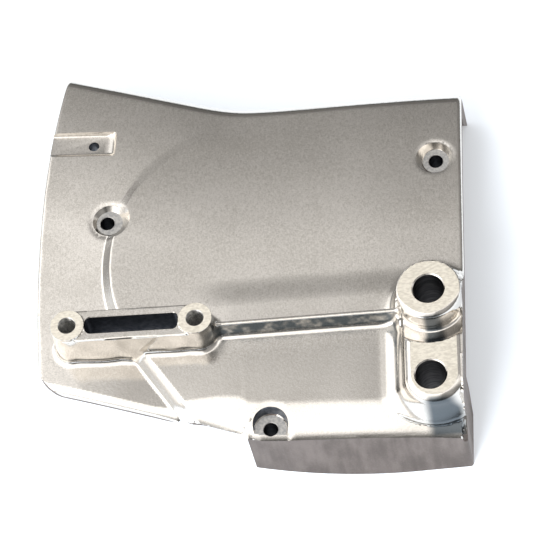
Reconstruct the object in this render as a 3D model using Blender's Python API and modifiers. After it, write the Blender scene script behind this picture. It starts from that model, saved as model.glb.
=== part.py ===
# Engine side cover: one aluminium casting, open at the back.
# A crowned plate stands on a top wall and a bottom skirt. It carries a shallow dome with a curved edge,
# a slotted two-hole boss, a thin rib, and two bored bosses with a scoop between them.
# Sizes are in metres and angles in degrees. X runs along the cover, Y up it and Z out of its face;
# Z = 0 is the mating face, and the origin is the centre of the cover's box on that face.
from math import atan2, ceil, cos, degrees, hypot, pi, radians, sin, sqrt, tan

import bmesh
import bpy
from mathutils import Vector
from mathutils.geometry import delaunay_2d_cdt

# Outline of the cover, seen from the front
HALF_WIDTH = 0.0957
HALF_LENGTH = 0.0985
LEFT_EDGE_RADIUS = 0.600
LEFT_EDGE_WIDEST_Y = -0.022
RIGHT_EDGE_BULGE = 0.0004
RIGHT_EDGE_LEAN = 0.0029
TOP_RIGHT_Y = 0.0745
TOP_EDGE_ANGLE = -0.6
TOP_KNEE_X = -0.0066
TOP_KNEE_RADIUS = 0.130
TOP_RISE_ANGLE = 18.8
TOP_LEFT_CORNER_RADIUS = 0.0035
TOP_RIGHT_CORNER_RADIUS = 0.0012
LOWER_LEFT_CORNER_RADIUS = 0.011
LOWER_EDGE_ANGLE = 18.2
SKIRT_LEFT_X = -0.0025
SKIRT_STAND = 0.0015
SKIRT_LOWEST_X = 0.064
SKIRT_CURVE_RADIUS = 0.290
SKIRT_RIGHT_RISE = 0.0007
SKIRT_FLARE = 0.0034
SKIRT_FLARE_START_X = 0.004
OUTLINE_STEP = 0.0065

# Crowned plate: its height, how it falls towards each side, and its rolled edges
CROWN_HEIGHT = 0.036
PLATE_WALL = 0.0045
TOP_FALL = 0.007
TOP_FALL_REACH = 0.075
RIGHT_FALL = 0.002
RIGHT_FALL_REACH = 0.055
LEFT_FALL = 0.0010
LEFT_FALL_REACH = 0.050
LOWER_FALL = 0.0008
LOWER_FALL_REACH = 0.050
TOP_ROLL = (0.006, 0.0025)
SIDE_ROLL = (0.002, 0.0014)
LOWER_ROLL = (0.0036, 0.0030)
SKIRT_ROLL = (0.016, 0.0064)
SKIRT_ROLL_FADE = (-0.045, -0.002)
ROLL_SHARE = 0.9

# Dome edge: a circle that runs into its tangent line at the lower left
DOME_CENTRE = (0.0081, -0.0055)
DOME_RADIUS = 0.072
DOME_TANGENT_ANGLE = 214.0
DOME_STEP = 0.005
DOME_STEP_START_ANGLE = 108.0
DOME_STEP_FULL_ANGLE = 225.0
DOME_RAMP_SHARE = 0.8
DOME_RAMP_LEAST = 0.0022

# Walls behind the plate
TOP_WALL = 0.0032
SKIRT_WALL = 0.0034
RETURN_WALL = 0.0032
TOP_RETURN_BACK = 0.0015
TOP_RETURN_FRONT = 0.0115
BOTTOM_RETURN_BACK = 0.0255
BOTTOM_RETURN_FRONT = 0.0295
RETURN_SLOPE_HEIGHT = 0.018

# Slotted boss with two threaded holes, the left one set in from the left edge
SLOT_BOSS_INSET = 0.0176
SLOT_BOSS_SPACING = 0.0564
SLOT_BOSS_LEFT = (-HALF_WIDTH + SLOT_BOSS_INSET, -0.0407)
SLOT_BOSS_RIGHT = (SLOT_BOSS_LEFT[0] + SLOT_BOSS_SPACING, -0.0418)
SLOT_BOSS_RADIUS = 0.0075
SLOT_BOSS_TOP = 0.0505
SLOT_BOSS_DRAFT = 0.03
SLOT_BOSS_FILLET = 0.0026
RING_STAND = 0.001
THREAD_BORE_RADIUS = 0.0040
THREAD_DEPTH = 0.015
SLOT_WIDTH = 0.0078
SLOT_END_WALL = 0.0003
SLOT_DEPTH = 0.014

# Rib from the slotted boss to the upper bored boss
RIB_TOP = 0.0447
RIB_TOP_RADIUS = 0.0009
RIB_DRAFT = 0.14
RIB_FILLET = 0.0015

# Bored bosses, set in from the right edge
UPPER_BOSS_INSET = 0.0149
UPPER_BOSS = (HALF_WIDTH - UPPER_BOSS_INSET, -0.0386)
UPPER_BOSS_RADIUS = 0.0140
UPPER_BOSS_TOP = 0.056
UPPER_BOSS_FILLET = 0.0048
LOWER_BOSS_INSET = 0.0156
LOWER_BOSS = (HALF_WIDTH - LOWER_BOSS_INSET, -0.0769)
LOWER_BOSS_LEFT_REACH = 0.0114
LOWER_BOSS_TOP = 0.050
LOWER_BOSS_FILLET = 0.0058
BORED_BOSS_DRAFT = 0.04
UPPER_BOSS_EDGE = 0.0010
LOWER_BOSS_EDGE = 0.0022
BORE_RADIUS = 0.00675
BORE_CHAMFER = 0.0005
BORE_TUBE_WALL = 0.0025
SCOOP_RADIUS = 0.0230
SCOOP_DEPTH = 0.0048

# Screw holes, each set in from an edge, in a drafted counterbore with a column behind
UPPER_LEFT_SCREW_INSET = 0.0319
UPPER_LEFT_SCREW = (-HALF_WIDTH + UPPER_LEFT_SCREW_INSET, 0.0197)
UPPER_RIGHT_SCREW_INSET = 0.0122
UPPER_RIGHT_SCREW = (HALF_WIDTH - UPPER_RIGHT_SCREW_INSET, 0.0396)
LOWER_SCREW_INSET = 0.0105
LOWER_SCREW = (0.0081, -HALF_LENGTH + LOWER_SCREW_INSET)
SCREW_HOLE_RADIUS = 0.0032
COUNTERBORE_FLOOR_RADIUS = 0.0062
COUNTERBORE_RIM_RADIUS = 0.0079
UPPER_LEFT_COUNTERBORE_DEPTH = 0.0020
UPPER_LEFT_COUNTERBORE_SHIFT = 0.0010
UPPER_RIGHT_COUNTERBORE_DEPTH = 0.0035
LOWER_COUNTERBORE_FLOOR_RADIUS = 0.0072
LOWER_COUNTERBORE_RIM_RADIUS = 0.0089
LOWER_COUNTERBORE_DEPTH = 0.0051
COUNTERBORE_WALL = 0.0020
COLUMN_RADIUS = 0.0064

# Recess with a small hole, open at the left edge
RECESS_LENGTH = 0.0353
RECESS_RIGHT_X = -HALF_WIDTH + RECESS_LENGTH
RECESS_Y = 0.0598
RECESS_WIDTH = 0.0120
RECESS_TILT = -4.0
RECESS_DEPTH = 0.0025
RECESS_CORNER = 0.0008
RECESS_RUN_OUT = 0.0036
RECESS_DRAFT = 0.001
RECESS_LOWER_DRAFT = 0.0014
RECESS_HOLE_RADIUS = 0.0025
RECESS_HOLE_INSET = 0.0100
RECESS_COLUMN_RADIUS = 0.0052

# Stiffening ribs inside
INNER_RIB_WIDTH = 0.0030
INNER_RIB_DEPTH = 0.006

# How far forms that join the plate stay inside its skin and its outline
SKIN_INSET = 0.0006
TRIM_INSET = 0.0003
TRIM_LEAN = 0.08

# How finely round forms are faceted, and how far cutters run past what they cut
ROUND_SIDES = 40
HOLE_SIDES = 24
FILLET_STEPS = 3
FILLET_END_ANGLE = 68.0
SUNK = 0.001
OVERRUN = 0.006
ROOT_HEIGHT = 0.0275
ABOVE_ALL = 0.070

ALLOY_COLOUR = (0.42, 0.40, 0.37, 1.0)
ALLOY_ROUGHNESS = 0.34


def smooth_step(low, high, value):
    """Runs smoothly from 0 at low to 1 at high."""
    share = min(1.0, max(0.0, (value - low) / (high - low)))
    return share * share * (3.0 - 2.0 * share)


# The sides of the cover, each as the distance inward from it

def right_edge_x(y):
    """X of the right edge, a line that leans in towards the skirt and bulges a little."""
    share = (TOP_RIGHT_Y - y) / (TOP_RIGHT_Y + HALF_LENGTH)
    return HALF_WIDTH - RIGHT_EDGE_LEAN * share + 4.0 * RIGHT_EDGE_BULGE * share * (1.0 - share)


def left_edge_x(y):
    """X of the left edge, an arc."""
    rise = y - LEFT_EDGE_WIDEST_Y
    return -HALF_WIDTH + LEFT_EDGE_RADIUS - sqrt(LEFT_EDGE_RADIUS ** 2 - rise ** 2)


def knee_y():
    """Y where the top edge's two straights meet."""
    return TOP_RIGHT_Y + (HALF_WIDTH - TOP_KNEE_X) * tan(radians(TOP_EDGE_ANGLE))


def top_edge_distance(x, y):
    """Distance below the top edge, with its knee rounded."""
    flat, steep = radians(TOP_EDGE_ANGLE), radians(TOP_RISE_ANGLE)
    across, down = TOP_KNEE_X - x, knee_y() - y
    below_flat = down * cos(flat) + across * sin(flat)
    below_steep = down * cos(steep) + across * sin(steep)
    knee_fill = TOP_KNEE_RADIUS * (1.0 / cos(0.5 * (steep - flat)) - 1.0)
    return 0.5 * (below_flat + below_steep + hypot(below_flat - below_steep, 2.0 * knee_fill))


def skirt_curve_y(x):
    """Y of the skirt's back edge: an arc down to its lowest point, then a slight rise to the right."""
    if x < SKIRT_LOWEST_X:
        across = SKIRT_LOWEST_X - x
        return -HALF_LENGTH + SKIRT_CURVE_RADIUS - sqrt(SKIRT_CURVE_RADIUS ** 2 - across ** 2)
    return -HALF_LENGTH + SKIRT_RIGHT_RISE * (x - SKIRT_LOWEST_X) / (HALF_WIDTH - SKIRT_LOWEST_X)


def lower_edge_y(x):
    """Y of the whole lower edge at the back."""
    if x >= SKIRT_LEFT_X:
        return skirt_curve_y(x)
    left_of_skirt = SKIRT_LEFT_X - x
    straight = skirt_curve_y(SKIRT_LEFT_X) + SKIRT_STAND + left_of_skirt * tan(radians(LOWER_EDGE_ANGLE))
    return straight - max(0.0, SKIRT_STAND - left_of_skirt)


def flare(x):
    """How far the skirt's front lip lies inside its back edge."""
    share = (x - SKIRT_FLARE_START_X) / (HALF_WIDTH - SKIRT_FLARE_START_X)
    return SKIRT_FLARE * sin(pi * min(1.0, max(0.0, share)))


def roll(distance, size):
    """Drop of an edge rolled over by (width, drop), along an ellipse that stops short of its quarter."""
    width, drop = size
    share = ROLL_SHARE * (1.0 - min(width, max(0.0, distance)) / width)
    return drop * (1.0 - sqrt(1.0 - share * share)) / (1.0 - sqrt(1.0 - ROLL_SHARE ** 2))


def fall(distance, amount, reach):
    """Gentle fall of the plate towards a side."""
    share = max(0.0, 1.0 - max(0.0, distance) / reach)
    return amount * share * share


def lower_roll(x):
    """The lower edge's roll, narrow at the left and wide over the skirt."""
    share = smooth_step(SKIRT_ROLL_FADE[0], SKIRT_ROLL_FADE[1], x)
    return tuple(thin + (wide - thin) * share for thin, wide in zip(LOWER_ROLL, SKIRT_ROLL))


def dome_step(x, y):
    """Drop outside the dome's edge."""
    across, up = x - DOME_CENTRE[0], y - DOME_CENTRE[1]
    angle = degrees(atan2(up, across)) % 360.0
    depth = DOME_STEP * smooth_step(DOME_STEP_START_ANGLE, DOME_STEP_FULL_ANGLE, angle)
    if depth < 0.00002:
        return 0.0
    outside = hypot(across, up) - DOME_RADIUS
    if angle > DOME_TANGENT_ANGLE:
        tangent = radians(DOME_TANGENT_ANGLE)
        outside = across * cos(tangent) + up * sin(tangent) - DOME_RADIUS
    half_ramp = max(DOME_RAMP_SHARE * depth, DOME_RAMP_LEAST)
    return depth * smooth_step(-half_ramp, half_ramp, outside)


def crown_height(x, y):
    """Height of the plate's face before its edges are rolled."""
    height = CROWN_HEIGHT - dome_step(x, y)
    height -= fall(top_edge_distance(x, y), TOP_FALL, TOP_FALL_REACH)
    height -= fall(right_edge_x(y) - x, RIGHT_FALL, RIGHT_FALL_REACH)
    height -= fall(x - left_edge_x(y), LEFT_FALL, LEFT_FALL_REACH)
    height -= fall(y - lower_edge_y(x), LOWER_FALL, LOWER_FALL_REACH)
    return height


def plate_height(x, y):
    """Height of the plate's face."""
    height = crown_height(x, y)
    height -= roll(top_edge_distance(x, y), TOP_ROLL)
    height -= roll(right_edge_x(y) - x, SIDE_ROLL)
    height -= roll(x - left_edge_x(y), SIDE_ROLL)
    height -= roll(y - lower_edge_y(x) - flare(x), lower_roll(x))
    return height


def cavity_height(x, y):
    """Height of the hollow behind the plate."""
    inside_skirt = max(SKIRT_WALL, y - lower_edge_y(x) - flare(x))
    return crown_height(x, y) - roll(inside_skirt, lower_roll(x)) - PLATE_WALL


# Outlines are closed lists of (x, y), counterclockwise

def rounded(corners):
    """Closed outline from (x, y, radius) corners; a radius of 0 keeps the point."""
    points = []
    for index, (x, y, radius) in enumerate(corners):
        corner = Vector((x, y))
        if radius == 0.0:
            points.append(corner)
            continue
        before = (Vector(corners[index - 1][:2]) - corner).normalized()
        after = (Vector(corners[(index + 1) % len(corners)][:2]) - corner).normalized()
        half_angle = 0.5 * before.angle(after)
        reach = radius / tan(half_angle)
        centre = corner + (before + after).normalized() * radius / sin(half_angle)
        start, end = corner + before * reach - centre, corner + after * reach - centre
        turn = start.angle_signed(end)
        steps = max(3, ceil(radius * abs(turn) / OUTLINE_STEP))
        for step in range(steps + 1):
            angle = -turn * step / steps
            points.append(centre + Vector((start.x * cos(angle) - start.y * sin(angle),
                                           start.x * sin(angle) + start.y * cos(angle))))
    return points


def divided(points, step):
    """The same closed outline with no stretch longer than step."""
    result = []
    for index, point in enumerate(points):
        following = points[(index + 1) % len(points)]
        count = max(1, ceil((following - point).length / step - 0.001))
        result.extend(point.lerp(following, share / count) for share in range(count))
    return result


def moved_out(points, distance):
    """The outline moved outward by a distance, or by one for each point."""
    result = []
    for index, point in enumerate(points):
        before = (point - points[index - 1]).normalized()
        after = (points[(index + 1) % len(points)] - point).normalized()
        normal = Vector((before.y + after.y, -before.x - after.x)).normalized()
        stretch = 1.0 / max(0.5, normal.dot(Vector((after.y, -after.x))))
        amount = distance[index] if isinstance(distance, list) else distance
        result.append(point + normal * amount * stretch)
    return result


def obround(first, second, radius):
    """Outline of a bar with round ends about two centres."""
    first, second = Vector(first), Vector(second)
    along = atan2(second.y - first.y, second.x - first.x)
    steps = ROUND_SIDES // 2
    points = []
    for centre, start in ((second, along - pi / 2), (first, along + pi / 2)):
        for step in range(steps + 1):
            angle = start + pi * step / steps
            points.append(centre + Vector((radius * cos(angle), radius * sin(angle))))
    return divided(points, 0.8 * OUTLINE_STEP)


def cover_outline():
    """The cover's outline at its back edge."""
    corners = []
    side_step = 0.03
    low_y = skirt_curve_y(HALF_WIDTH - RIGHT_EDGE_LEAN)
    corners.append((right_edge_x(low_y), low_y, TOP_RIGHT_CORNER_RADIUS))
    side_count = int((TOP_RIGHT_Y - low_y) / side_step)
    for step in range(1, side_count):
        y = low_y + (TOP_RIGHT_Y - low_y) * step / side_count
        corners.append((right_edge_x(y), y, 0.0))
    corners.append((HALF_WIDTH, TOP_RIGHT_Y, TOP_RIGHT_CORNER_RADIUS))
    corners.append((TOP_KNEE_X, knee_y(), TOP_KNEE_RADIUS))
    # the top left corner is where the rising straight meets the left edge
    top_y = HALF_LENGTH
    for _ in range(8):
        top_y = knee_y() + (TOP_KNEE_X - left_edge_x(top_y)) * tan(radians(TOP_RISE_ANGLE))
    corners.append((left_edge_x(top_y), top_y, TOP_LEFT_CORNER_RADIUS))
    bottom_y = -0.06
    for _ in range(8):
        bottom_y = lower_edge_y(left_edge_x(bottom_y))
    left_count = int((top_y - bottom_y) / (0.5 * side_step))
    for step in range(1, left_count):
        y = top_y + (bottom_y - top_y) * step / left_count
        corners.append((left_edge_x(y), y, 0.0))
    corners.append((left_edge_x(bottom_y), bottom_y, LOWER_LEFT_CORNER_RADIUS))
    corners.append((SKIRT_LEFT_X - SKIRT_STAND, lower_edge_y(SKIRT_LEFT_X - SKIRT_STAND), 0.0))
    curve_count = ceil((SKIRT_LOWEST_X - SKIRT_LEFT_X) / OUTLINE_STEP)
    for step in range(curve_count + 1):
        x = SKIRT_LEFT_X + (SKIRT_LOWEST_X - SKIRT_LEFT_X) * step / curve_count
        corners.append((x, lower_edge_y(x), 0.0))
    return divided(rounded(corners), OUTLINE_STEP)


def front_of(points):
    """The back outline moved in to the skirt's front lip."""
    on_lower_edge = [p.y < lower_edge_y(p.x) + 0.002 for p in points]
    return [Vector((p.x, p.y + flare(p.x))) if low else p.copy() for p, low in zip(points, on_lower_edge)]


def cavity_outline():
    """Outline of the hollow at the back: inside the top wall and the skirt, and past the open sides."""
    right, left, bottom = HALF_WIDTH + OVERRUN, -HALF_WIDTH - OVERRUN, -HALF_LENGTH - OVERRUN
    flat, steep = radians(TOP_EDGE_ANGLE), radians(TOP_RISE_ANGLE)
    top = knee_y() - TOP_WALL
    points = [(right, top - (right - TOP_KNEE_X) * tan(flat), 0.0),
              (TOP_KNEE_X, top, TOP_KNEE_RADIUS),
              (left, top + (TOP_KNEE_X - left) * tan(steep), 0.0),
              (left, bottom, 0.0),
              (SKIRT_LEFT_X, bottom, 0.0)]
    count = 8
    for step in range(count + 1):
        x = SKIRT_LEFT_X + (right - SKIRT_LEFT_X) * step / count
        points.append((x, skirt_curve_y(min(x, HALF_WIDTH)) + SKIRT_WALL, 0.0))
    return divided(rounded(points), 2.0 * OUTLINE_STEP)


# Meshes

def new_object(name, mesh, collection):
    """An object in a collection."""
    thing = bpy.data.objects.new(name, mesh)
    collection.objects.link(thing)
    return thing


def mesh_of(name, points, faces):
    """A mesh from points and faces, with its faces pointing out."""
    mesh = bpy.data.meshes.new(name)
    mesh.from_pydata(points, [], faces)
    form = bmesh.new()
    form.from_mesh(mesh)
    bmesh.ops.recalc_face_normals(form, faces=form.faces)
    form.to_mesh(mesh)
    form.free()
    return mesh


def crowned_block(name, back, front, height, guides, collection):
    """A block from the flat back outline to a front face whose height is a function of x and y."""
    flat = [1000.0 * point for point in front + guides]
    found = delaunay_2d_cdt(flat, [], [list(range(len(front)))], 1, 0.0001)
    places, triangles, origins = found[0], found[2], found[3]
    points = []
    for place in places:
        x, y = 0.001 * place.x, 0.001 * place.y
        points.append((x, y, height(x, y)))
    rim = {}
    for index, sources in enumerate(origins):
        rim.update((origin, index) for origin in sources if origin < len(front))
    faces = [tuple(triangle) for triangle in triangles]
    first_back = len(points)
    points.extend((point.x, point.y, 0.0) for point in back)
    for index in range(len(front)):
        following = (index + 1) % len(front)
        faces.append((rim[index], first_back + index, first_back + following, rim[following]))
    faces.append(tuple(first_back + index for index in reversed(range(len(front)))))
    return new_object(name, mesh_of(name, points, faces), collection)


def loft(name, rings, collection):
    """A closed solid through rings of (x, y, z) with the same number of points."""
    count = len(rings[0])
    points = [point for ring in rings for point in ring]
    faces = [tuple(range(count)), tuple((len(rings) - 1) * count + index for index in range(count))]
    for level in range(len(rings) - 1):
        for index in range(count):
            following = (index + 1) % count
            first, second = level * count, (level + 1) * count
            faces.append((first + index, first + following, second + following, second + index))
    return new_object(name, mesh_of(name, points, faces), collection)


def boss(name, outline, top, edge, draft, fillet, collection):
    """A raised boss with a rounded top edge, drafted walls and a fillet that follows the plate's face."""
    rings = []
    for step in range(FILLET_STEPS):
        angle = 0.5 * pi * step / (FILLET_STEPS - 1)
        ring = moved_out(outline, edge * (sin(angle) - 1.0))
        rings.append([(p.x, p.y, top - edge * (1.0 - cos(angle))) for p in ring])
    wall_foot = draft * (top - edge - CROWN_HEIGHT)
    last_angle = radians(FILLET_END_ANGLE)
    for step in range(FILLET_STEPS + 1):
        angle = last_angle * step / FILLET_STEPS
        ring = moved_out(outline, wall_foot + fillet * (1.0 - cos(angle)))
        lift = fillet * (1.0 - sin(angle))
        rings.append([(p.x, p.y, plate_height(p.x, p.y) + lift) for p in ring])
    reach = (SUNK + fillet * (1.0 - sin(last_angle))) * tan(last_angle)
    ring = moved_out(outline, wall_foot + fillet * (1.0 - cos(last_angle)) + reach)
    rings.append([(p.x, p.y, plate_height(p.x, p.y) - SUNK) for p in ring])
    # inside the plate the foot narrows to the root, which may show as a thickening behind
    rings.append([(p.x, p.y, plate_height(p.x, p.y) - 0.6 * PLATE_WALL) for p in outline])
    rings.append([(p.x, p.y, min(ROOT_HEIGHT, plate_height(p.x, p.y) - 0.8 * PLATE_WALL)) for p in outline])
    return loft(name, rings, collection)


def extruded(name, outline, low, high, collection):
    """A flat outline raised between two heights, from a filled curve."""
    curve = bpy.data.curves.new(name, "CURVE")
    curve.dimensions = "2D"
    curve.fill_mode = "BOTH"
    curve.extrude = 0.5 * (high - low)
    spline = curve.splines.new("POLY")
    spline.points.add(len(outline) - 1)
    for place, point in zip(spline.points, outline):
        place.co = (point.x, point.y, 0.0, 1.0)
    spline.use_cyclic_u = True
    guide = new_object(name + "_curve", curve, collection)
    guide.location.z = 0.5 * (high + low)
    bpy.context.view_layer.update()
    seen = guide.evaluated_get(bpy.context.evaluated_depsgraph_get())
    mesh = bpy.data.meshes.new_from_object(seen)
    form = bmesh.new()
    form.from_mesh(mesh)
    bmesh.ops.remove_doubles(form, verts=form.verts, dist=0.000001)
    bmesh.ops.recalc_face_normals(form, faces=form.faces)
    form.to_mesh(mesh)
    form.free()
    solid = new_object(name, mesh, collection)
    solid.matrix_world = guide.matrix_world.copy()
    bpy.data.objects.remove(guide)
    bpy.data.curves.remove(curve)
    return solid


def turned(name, profile, centre, sides, collection):
    """A turned solid about a vertical axis, from a profile of (radius, z) run down its outer side."""
    mesh = bpy.data.meshes.new(name)
    edges = [(index, index + 1) for index in range(len(profile) - 1)]
    mesh.from_pydata([(radius, 0.0, z) for radius, z in profile], edges, [])
    solid = new_object(name, mesh, collection)
    solid.location = (centre[0], centre[1], 0.0)
    screw = solid.modifiers.new("turn", "SCREW")
    screw.steps = sides
    screw.render_steps = sides
    screw.use_merge_vertices = True
    screw.merge_threshold = 0.000001
    return solid


def box(name, low, high, collection):
    """A box between two corners."""
    form = bmesh.new()
    bmesh.ops.create_cube(form, size=1.0)
    for vertex in form.verts:
        vertex.co = [a + (b - a) * (c + 0.5) for a, b, c in zip(low, high, vertex.co)]
    mesh = bpy.data.meshes.new(name)
    form.to_mesh(mesh)
    form.free()
    return new_object(name, mesh, collection)


def combine(thing, operation, other, solver="EXACT"):
    """A Boolean of one solid with another."""
    modifier = thing.modifiers.new(operation.lower() + "_" + other.name, "BOOLEAN")
    modifier.operation = operation
    modifier.solver = solver
    modifier.object = other


def round_profile(stages, low):
    """Profile of a turned solid from (radius, z) stages, closed on its axis."""
    return [(0.0, stages[0][1])] + stages + [(stages[-1][0], low), (0.0, low)]


# The casting's pieces of form

def face_guides(ring_shares):
    """Points across the face: along the rolled edges, along the dome's edge, and a plain grid between."""
    outline = front_of(cover_outline())
    guides = []
    for share in ring_shares:
        inset = []
        for p in outline:
            if p.y < lower_edge_y(p.x) + 0.006:
                inset.append(-share * lower_roll(p.x)[0])
            elif top_edge_distance(p.x, p.y) < 0.001:
                inset.append(-share * TOP_ROLL[0])
            else:
                inset.append(-share * SIDE_ROLL[0])
        guides.extend(moved_out(outline, inset))
    tangent = radians(DOME_TANGENT_ANGLE)
    ramp_half = DOME_RAMP_SHARE * DOME_STEP
    for share in (-1.0, -0.55, -0.15, 0.25, 0.62, 1.0):
        radius = DOME_RADIUS + share * ramp_half
        for angle in range(int(DOME_STEP_START_ANGLE) + 6, int(DOME_TANGENT_ANGLE), 4):
            guides.append(Vector((DOME_CENTRE[0] + radius * cos(radians(angle)),
                                  DOME_CENTRE[1] + radius * sin(radians(angle)))))
        for step in range(1, 13):
            along = 0.005 * step
            x = DOME_CENTRE[0] + radius * cos(tangent) - along * sin(tangent)
            y = DOME_CENTRE[1] + radius * sin(tangent) + along * cos(tangent)
            if y > lower_edge_y(x) + flare(x) + 1.3 * lower_roll(x)[0]:
                guides.append(Vector((x, y)))
    return guides


def with_grid(guides, step, margin):
    """Adds a plain grid where the guides leave room."""
    taken = {(round(p.x / margin), round(p.y / margin)) for p in guides}
    result = list(guides)
    rows = int(2.0 * HALF_LENGTH / step)
    columns = int(2.0 * HALF_WIDTH / step)
    for row in range(rows + 1):
        for column in range(columns + 1):
            x = -HALF_WIDTH + step * (column + 0.5 * (row % 2))
            y = -HALF_LENGTH + step * row
            cell = (round(x / margin), round(y / margin))
            near = any((cell[0] + i, cell[1] + j) in taken for i in (-1, 0, 1) for j in (-1, 0, 1))
            if not near and inside_cover(x, y, margin):
                result.append(Vector((x, y)))
    return result


def inside_cover(x, y, margin):
    """Whether a place lies inside the cover's outline by a margin."""
    from_sides = min(right_edge_x(y) - x, x - left_edge_x(y))
    return min(from_sides, top_edge_distance(x, y), y - lower_edge_y(x) - flare(x)) > margin


def make_block(collection):
    """The cover's full block, before it is hollowed."""
    back = cover_outline()
    guides = with_grid(face_guides((0.12, 0.35, 0.65, 1.0)), 0.0085, 0.003)
    return crowned_block("cover_casting", back, front_of(back), plate_height, guides, collection)


def skin_height(x, y):
    """Height just inside the plate's skin."""
    return plate_height(x, y) - 2.0 * SKIN_INSET


def make_skin_trim(collection):
    """A block just inside the plate's skin, which the inner forms are cut to."""
    back = moved_out(cover_outline(), -SKIN_INSET)
    guides = with_grid([], 0.012, 0.003)
    return crowned_block("skin_trim", back, front_of(back), skin_height, guides, collection)


def inside_cavity(point):
    """Whether a grid point lies well inside the hollow."""
    clear = 0.004
    return (top_edge_distance(point.x, point.y) > TOP_WALL + clear
            and point.y > lower_edge_y(point.x) + flare(point.x) + SKIRT_WALL + clear)


def make_cavity(collection):
    """The hollow behind the plate."""
    back = cavity_outline()
    front = []
    for p in back:
        on_skirt = p.x > SKIRT_LEFT_X and p.y < lower_edge_y(p.x) + 2.0 * SKIRT_WALL
        front.append(Vector((p.x, p.y + flare(p.x))) if on_skirt else p.copy())
    guides = [p for p in with_grid([], 0.013, 0.003) if inside_cavity(p)]
    return crowned_block("cavity", back, front, cavity_height, guides, collection)


def make_inside(collection):
    """What stands in the hollow: screw columns, bore tubes, corner returns and stiffening ribs."""
    high = CROWN_HEIGHT
    tube = BORE_RADIUS + BORE_TUBE_WALL
    inside = turned("inside_forms", round_profile([(COLUMN_RADIUS, high)], 0.0), UPPER_LEFT_SCREW,
                    HOLE_SIDES, collection)
    right_floor = counterbore_floor(UPPER_RIGHT_SCREW, UPPER_RIGHT_COUNTERBORE_DEPTH)
    others = [turned("column_right", column_profile(COUNTERBORE_FLOOR_RADIUS, right_floor),
                     UPPER_RIGHT_SCREW, HOLE_SIDES, collection),
              turned("column_lower", column_profile(LOWER_COUNTERBORE_FLOOR_RADIUS, lower_floor()),
                     LOWER_SCREW, HOLE_SIDES, collection),
              turned("tube_upper", round_profile([(tube, high)], 0.0), UPPER_BOSS, HOLE_SIDES, collection),
              turned("tube_lower", round_profile([(tube, high)], 0.0), LOWER_BOSS, HOLE_SIDES, collection)]
    others.append(turned("recess_pad", round_profile([(RECESS_COLUMN_RADIUS, high)], 0.5 * CROWN_HEIGHT),
                         recess_hole(), HOLE_SIDES, collection))
    # a web ties the two tubes together
    others.append(box("tube_web", (UPPER_BOSS[0] - 0.5 * RETURN_WALL, LOWER_BOSS[1], 0.0),
                      (UPPER_BOSS[0] + 0.5 * RETURN_WALL, UPPER_BOSS[1], high), collection))
    others.append(make_return("return_top", TOP_RIGHT_Y + OVERRUN, TOP_RIGHT_Y - TOP_RETURN_BACK,
                              TOP_RIGHT_Y - TOP_RETURN_FRONT, collection))
    others.append(make_return("return_bottom", -HALF_LENGTH - OVERRUN, -HALF_LENGTH + BOTTOM_RETURN_BACK,
                              -HALF_LENGTH + BOTTOM_RETURN_FRONT, collection))
    others.append(make_inner_rib("inner_rib_across", UPPER_LEFT_SCREW, UPPER_RIGHT_SCREW, collection))
    others.append(make_inner_rib("inner_rib_down", UPPER_RIGHT_SCREW, UPPER_BOSS, collection))
    for other in others:
        combine(inside, "UNION", other)
    return inside


def column_profile(pocket_radius, pocket_floor):
    """A screw column whose wider head takes a pocket in from the face."""
    head = pocket_radius + COUNTERBORE_WALL
    under = pocket_floor - COUNTERBORE_WALL
    return round_profile([(head, CROWN_HEIGHT), (head, under), (COLUMN_RADIUS, under)], 0.0)


def make_return(name, outer_y, back_y, front_y, collection):
    """A corner return on the right side, with a sloping end."""
    rings = []
    for x in (HALF_WIDTH - RIGHT_EDGE_LEAN - RETURN_WALL, HALF_WIDTH + OVERRUN):
        rings.append([(x, outer_y, 0.0), (x, back_y, 0.0), (x, front_y, RETURN_SLOPE_HEIGHT),
                      (x, front_y, CROWN_HEIGHT), (x, outer_y, CROWN_HEIGHT)])
    return loft(name, rings, collection)


def make_inner_rib(name, start, end, collection):
    """A stiffening rib under the plate between two columns."""
    first, second = Vector(start), Vector(end)
    side = (second - first).normalized().orthogonal() * 0.5 * INNER_RIB_WIDTH
    outline = [first - side, second - side, second + side, first + side]
    low = CROWN_HEIGHT - PLATE_WALL - DOME_STEP - INNER_RIB_DEPTH
    rings = [[(p.x, p.y, z) for p in outline] for z in (low, CROWN_HEIGHT)]
    return loft(name, rings, collection)


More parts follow.
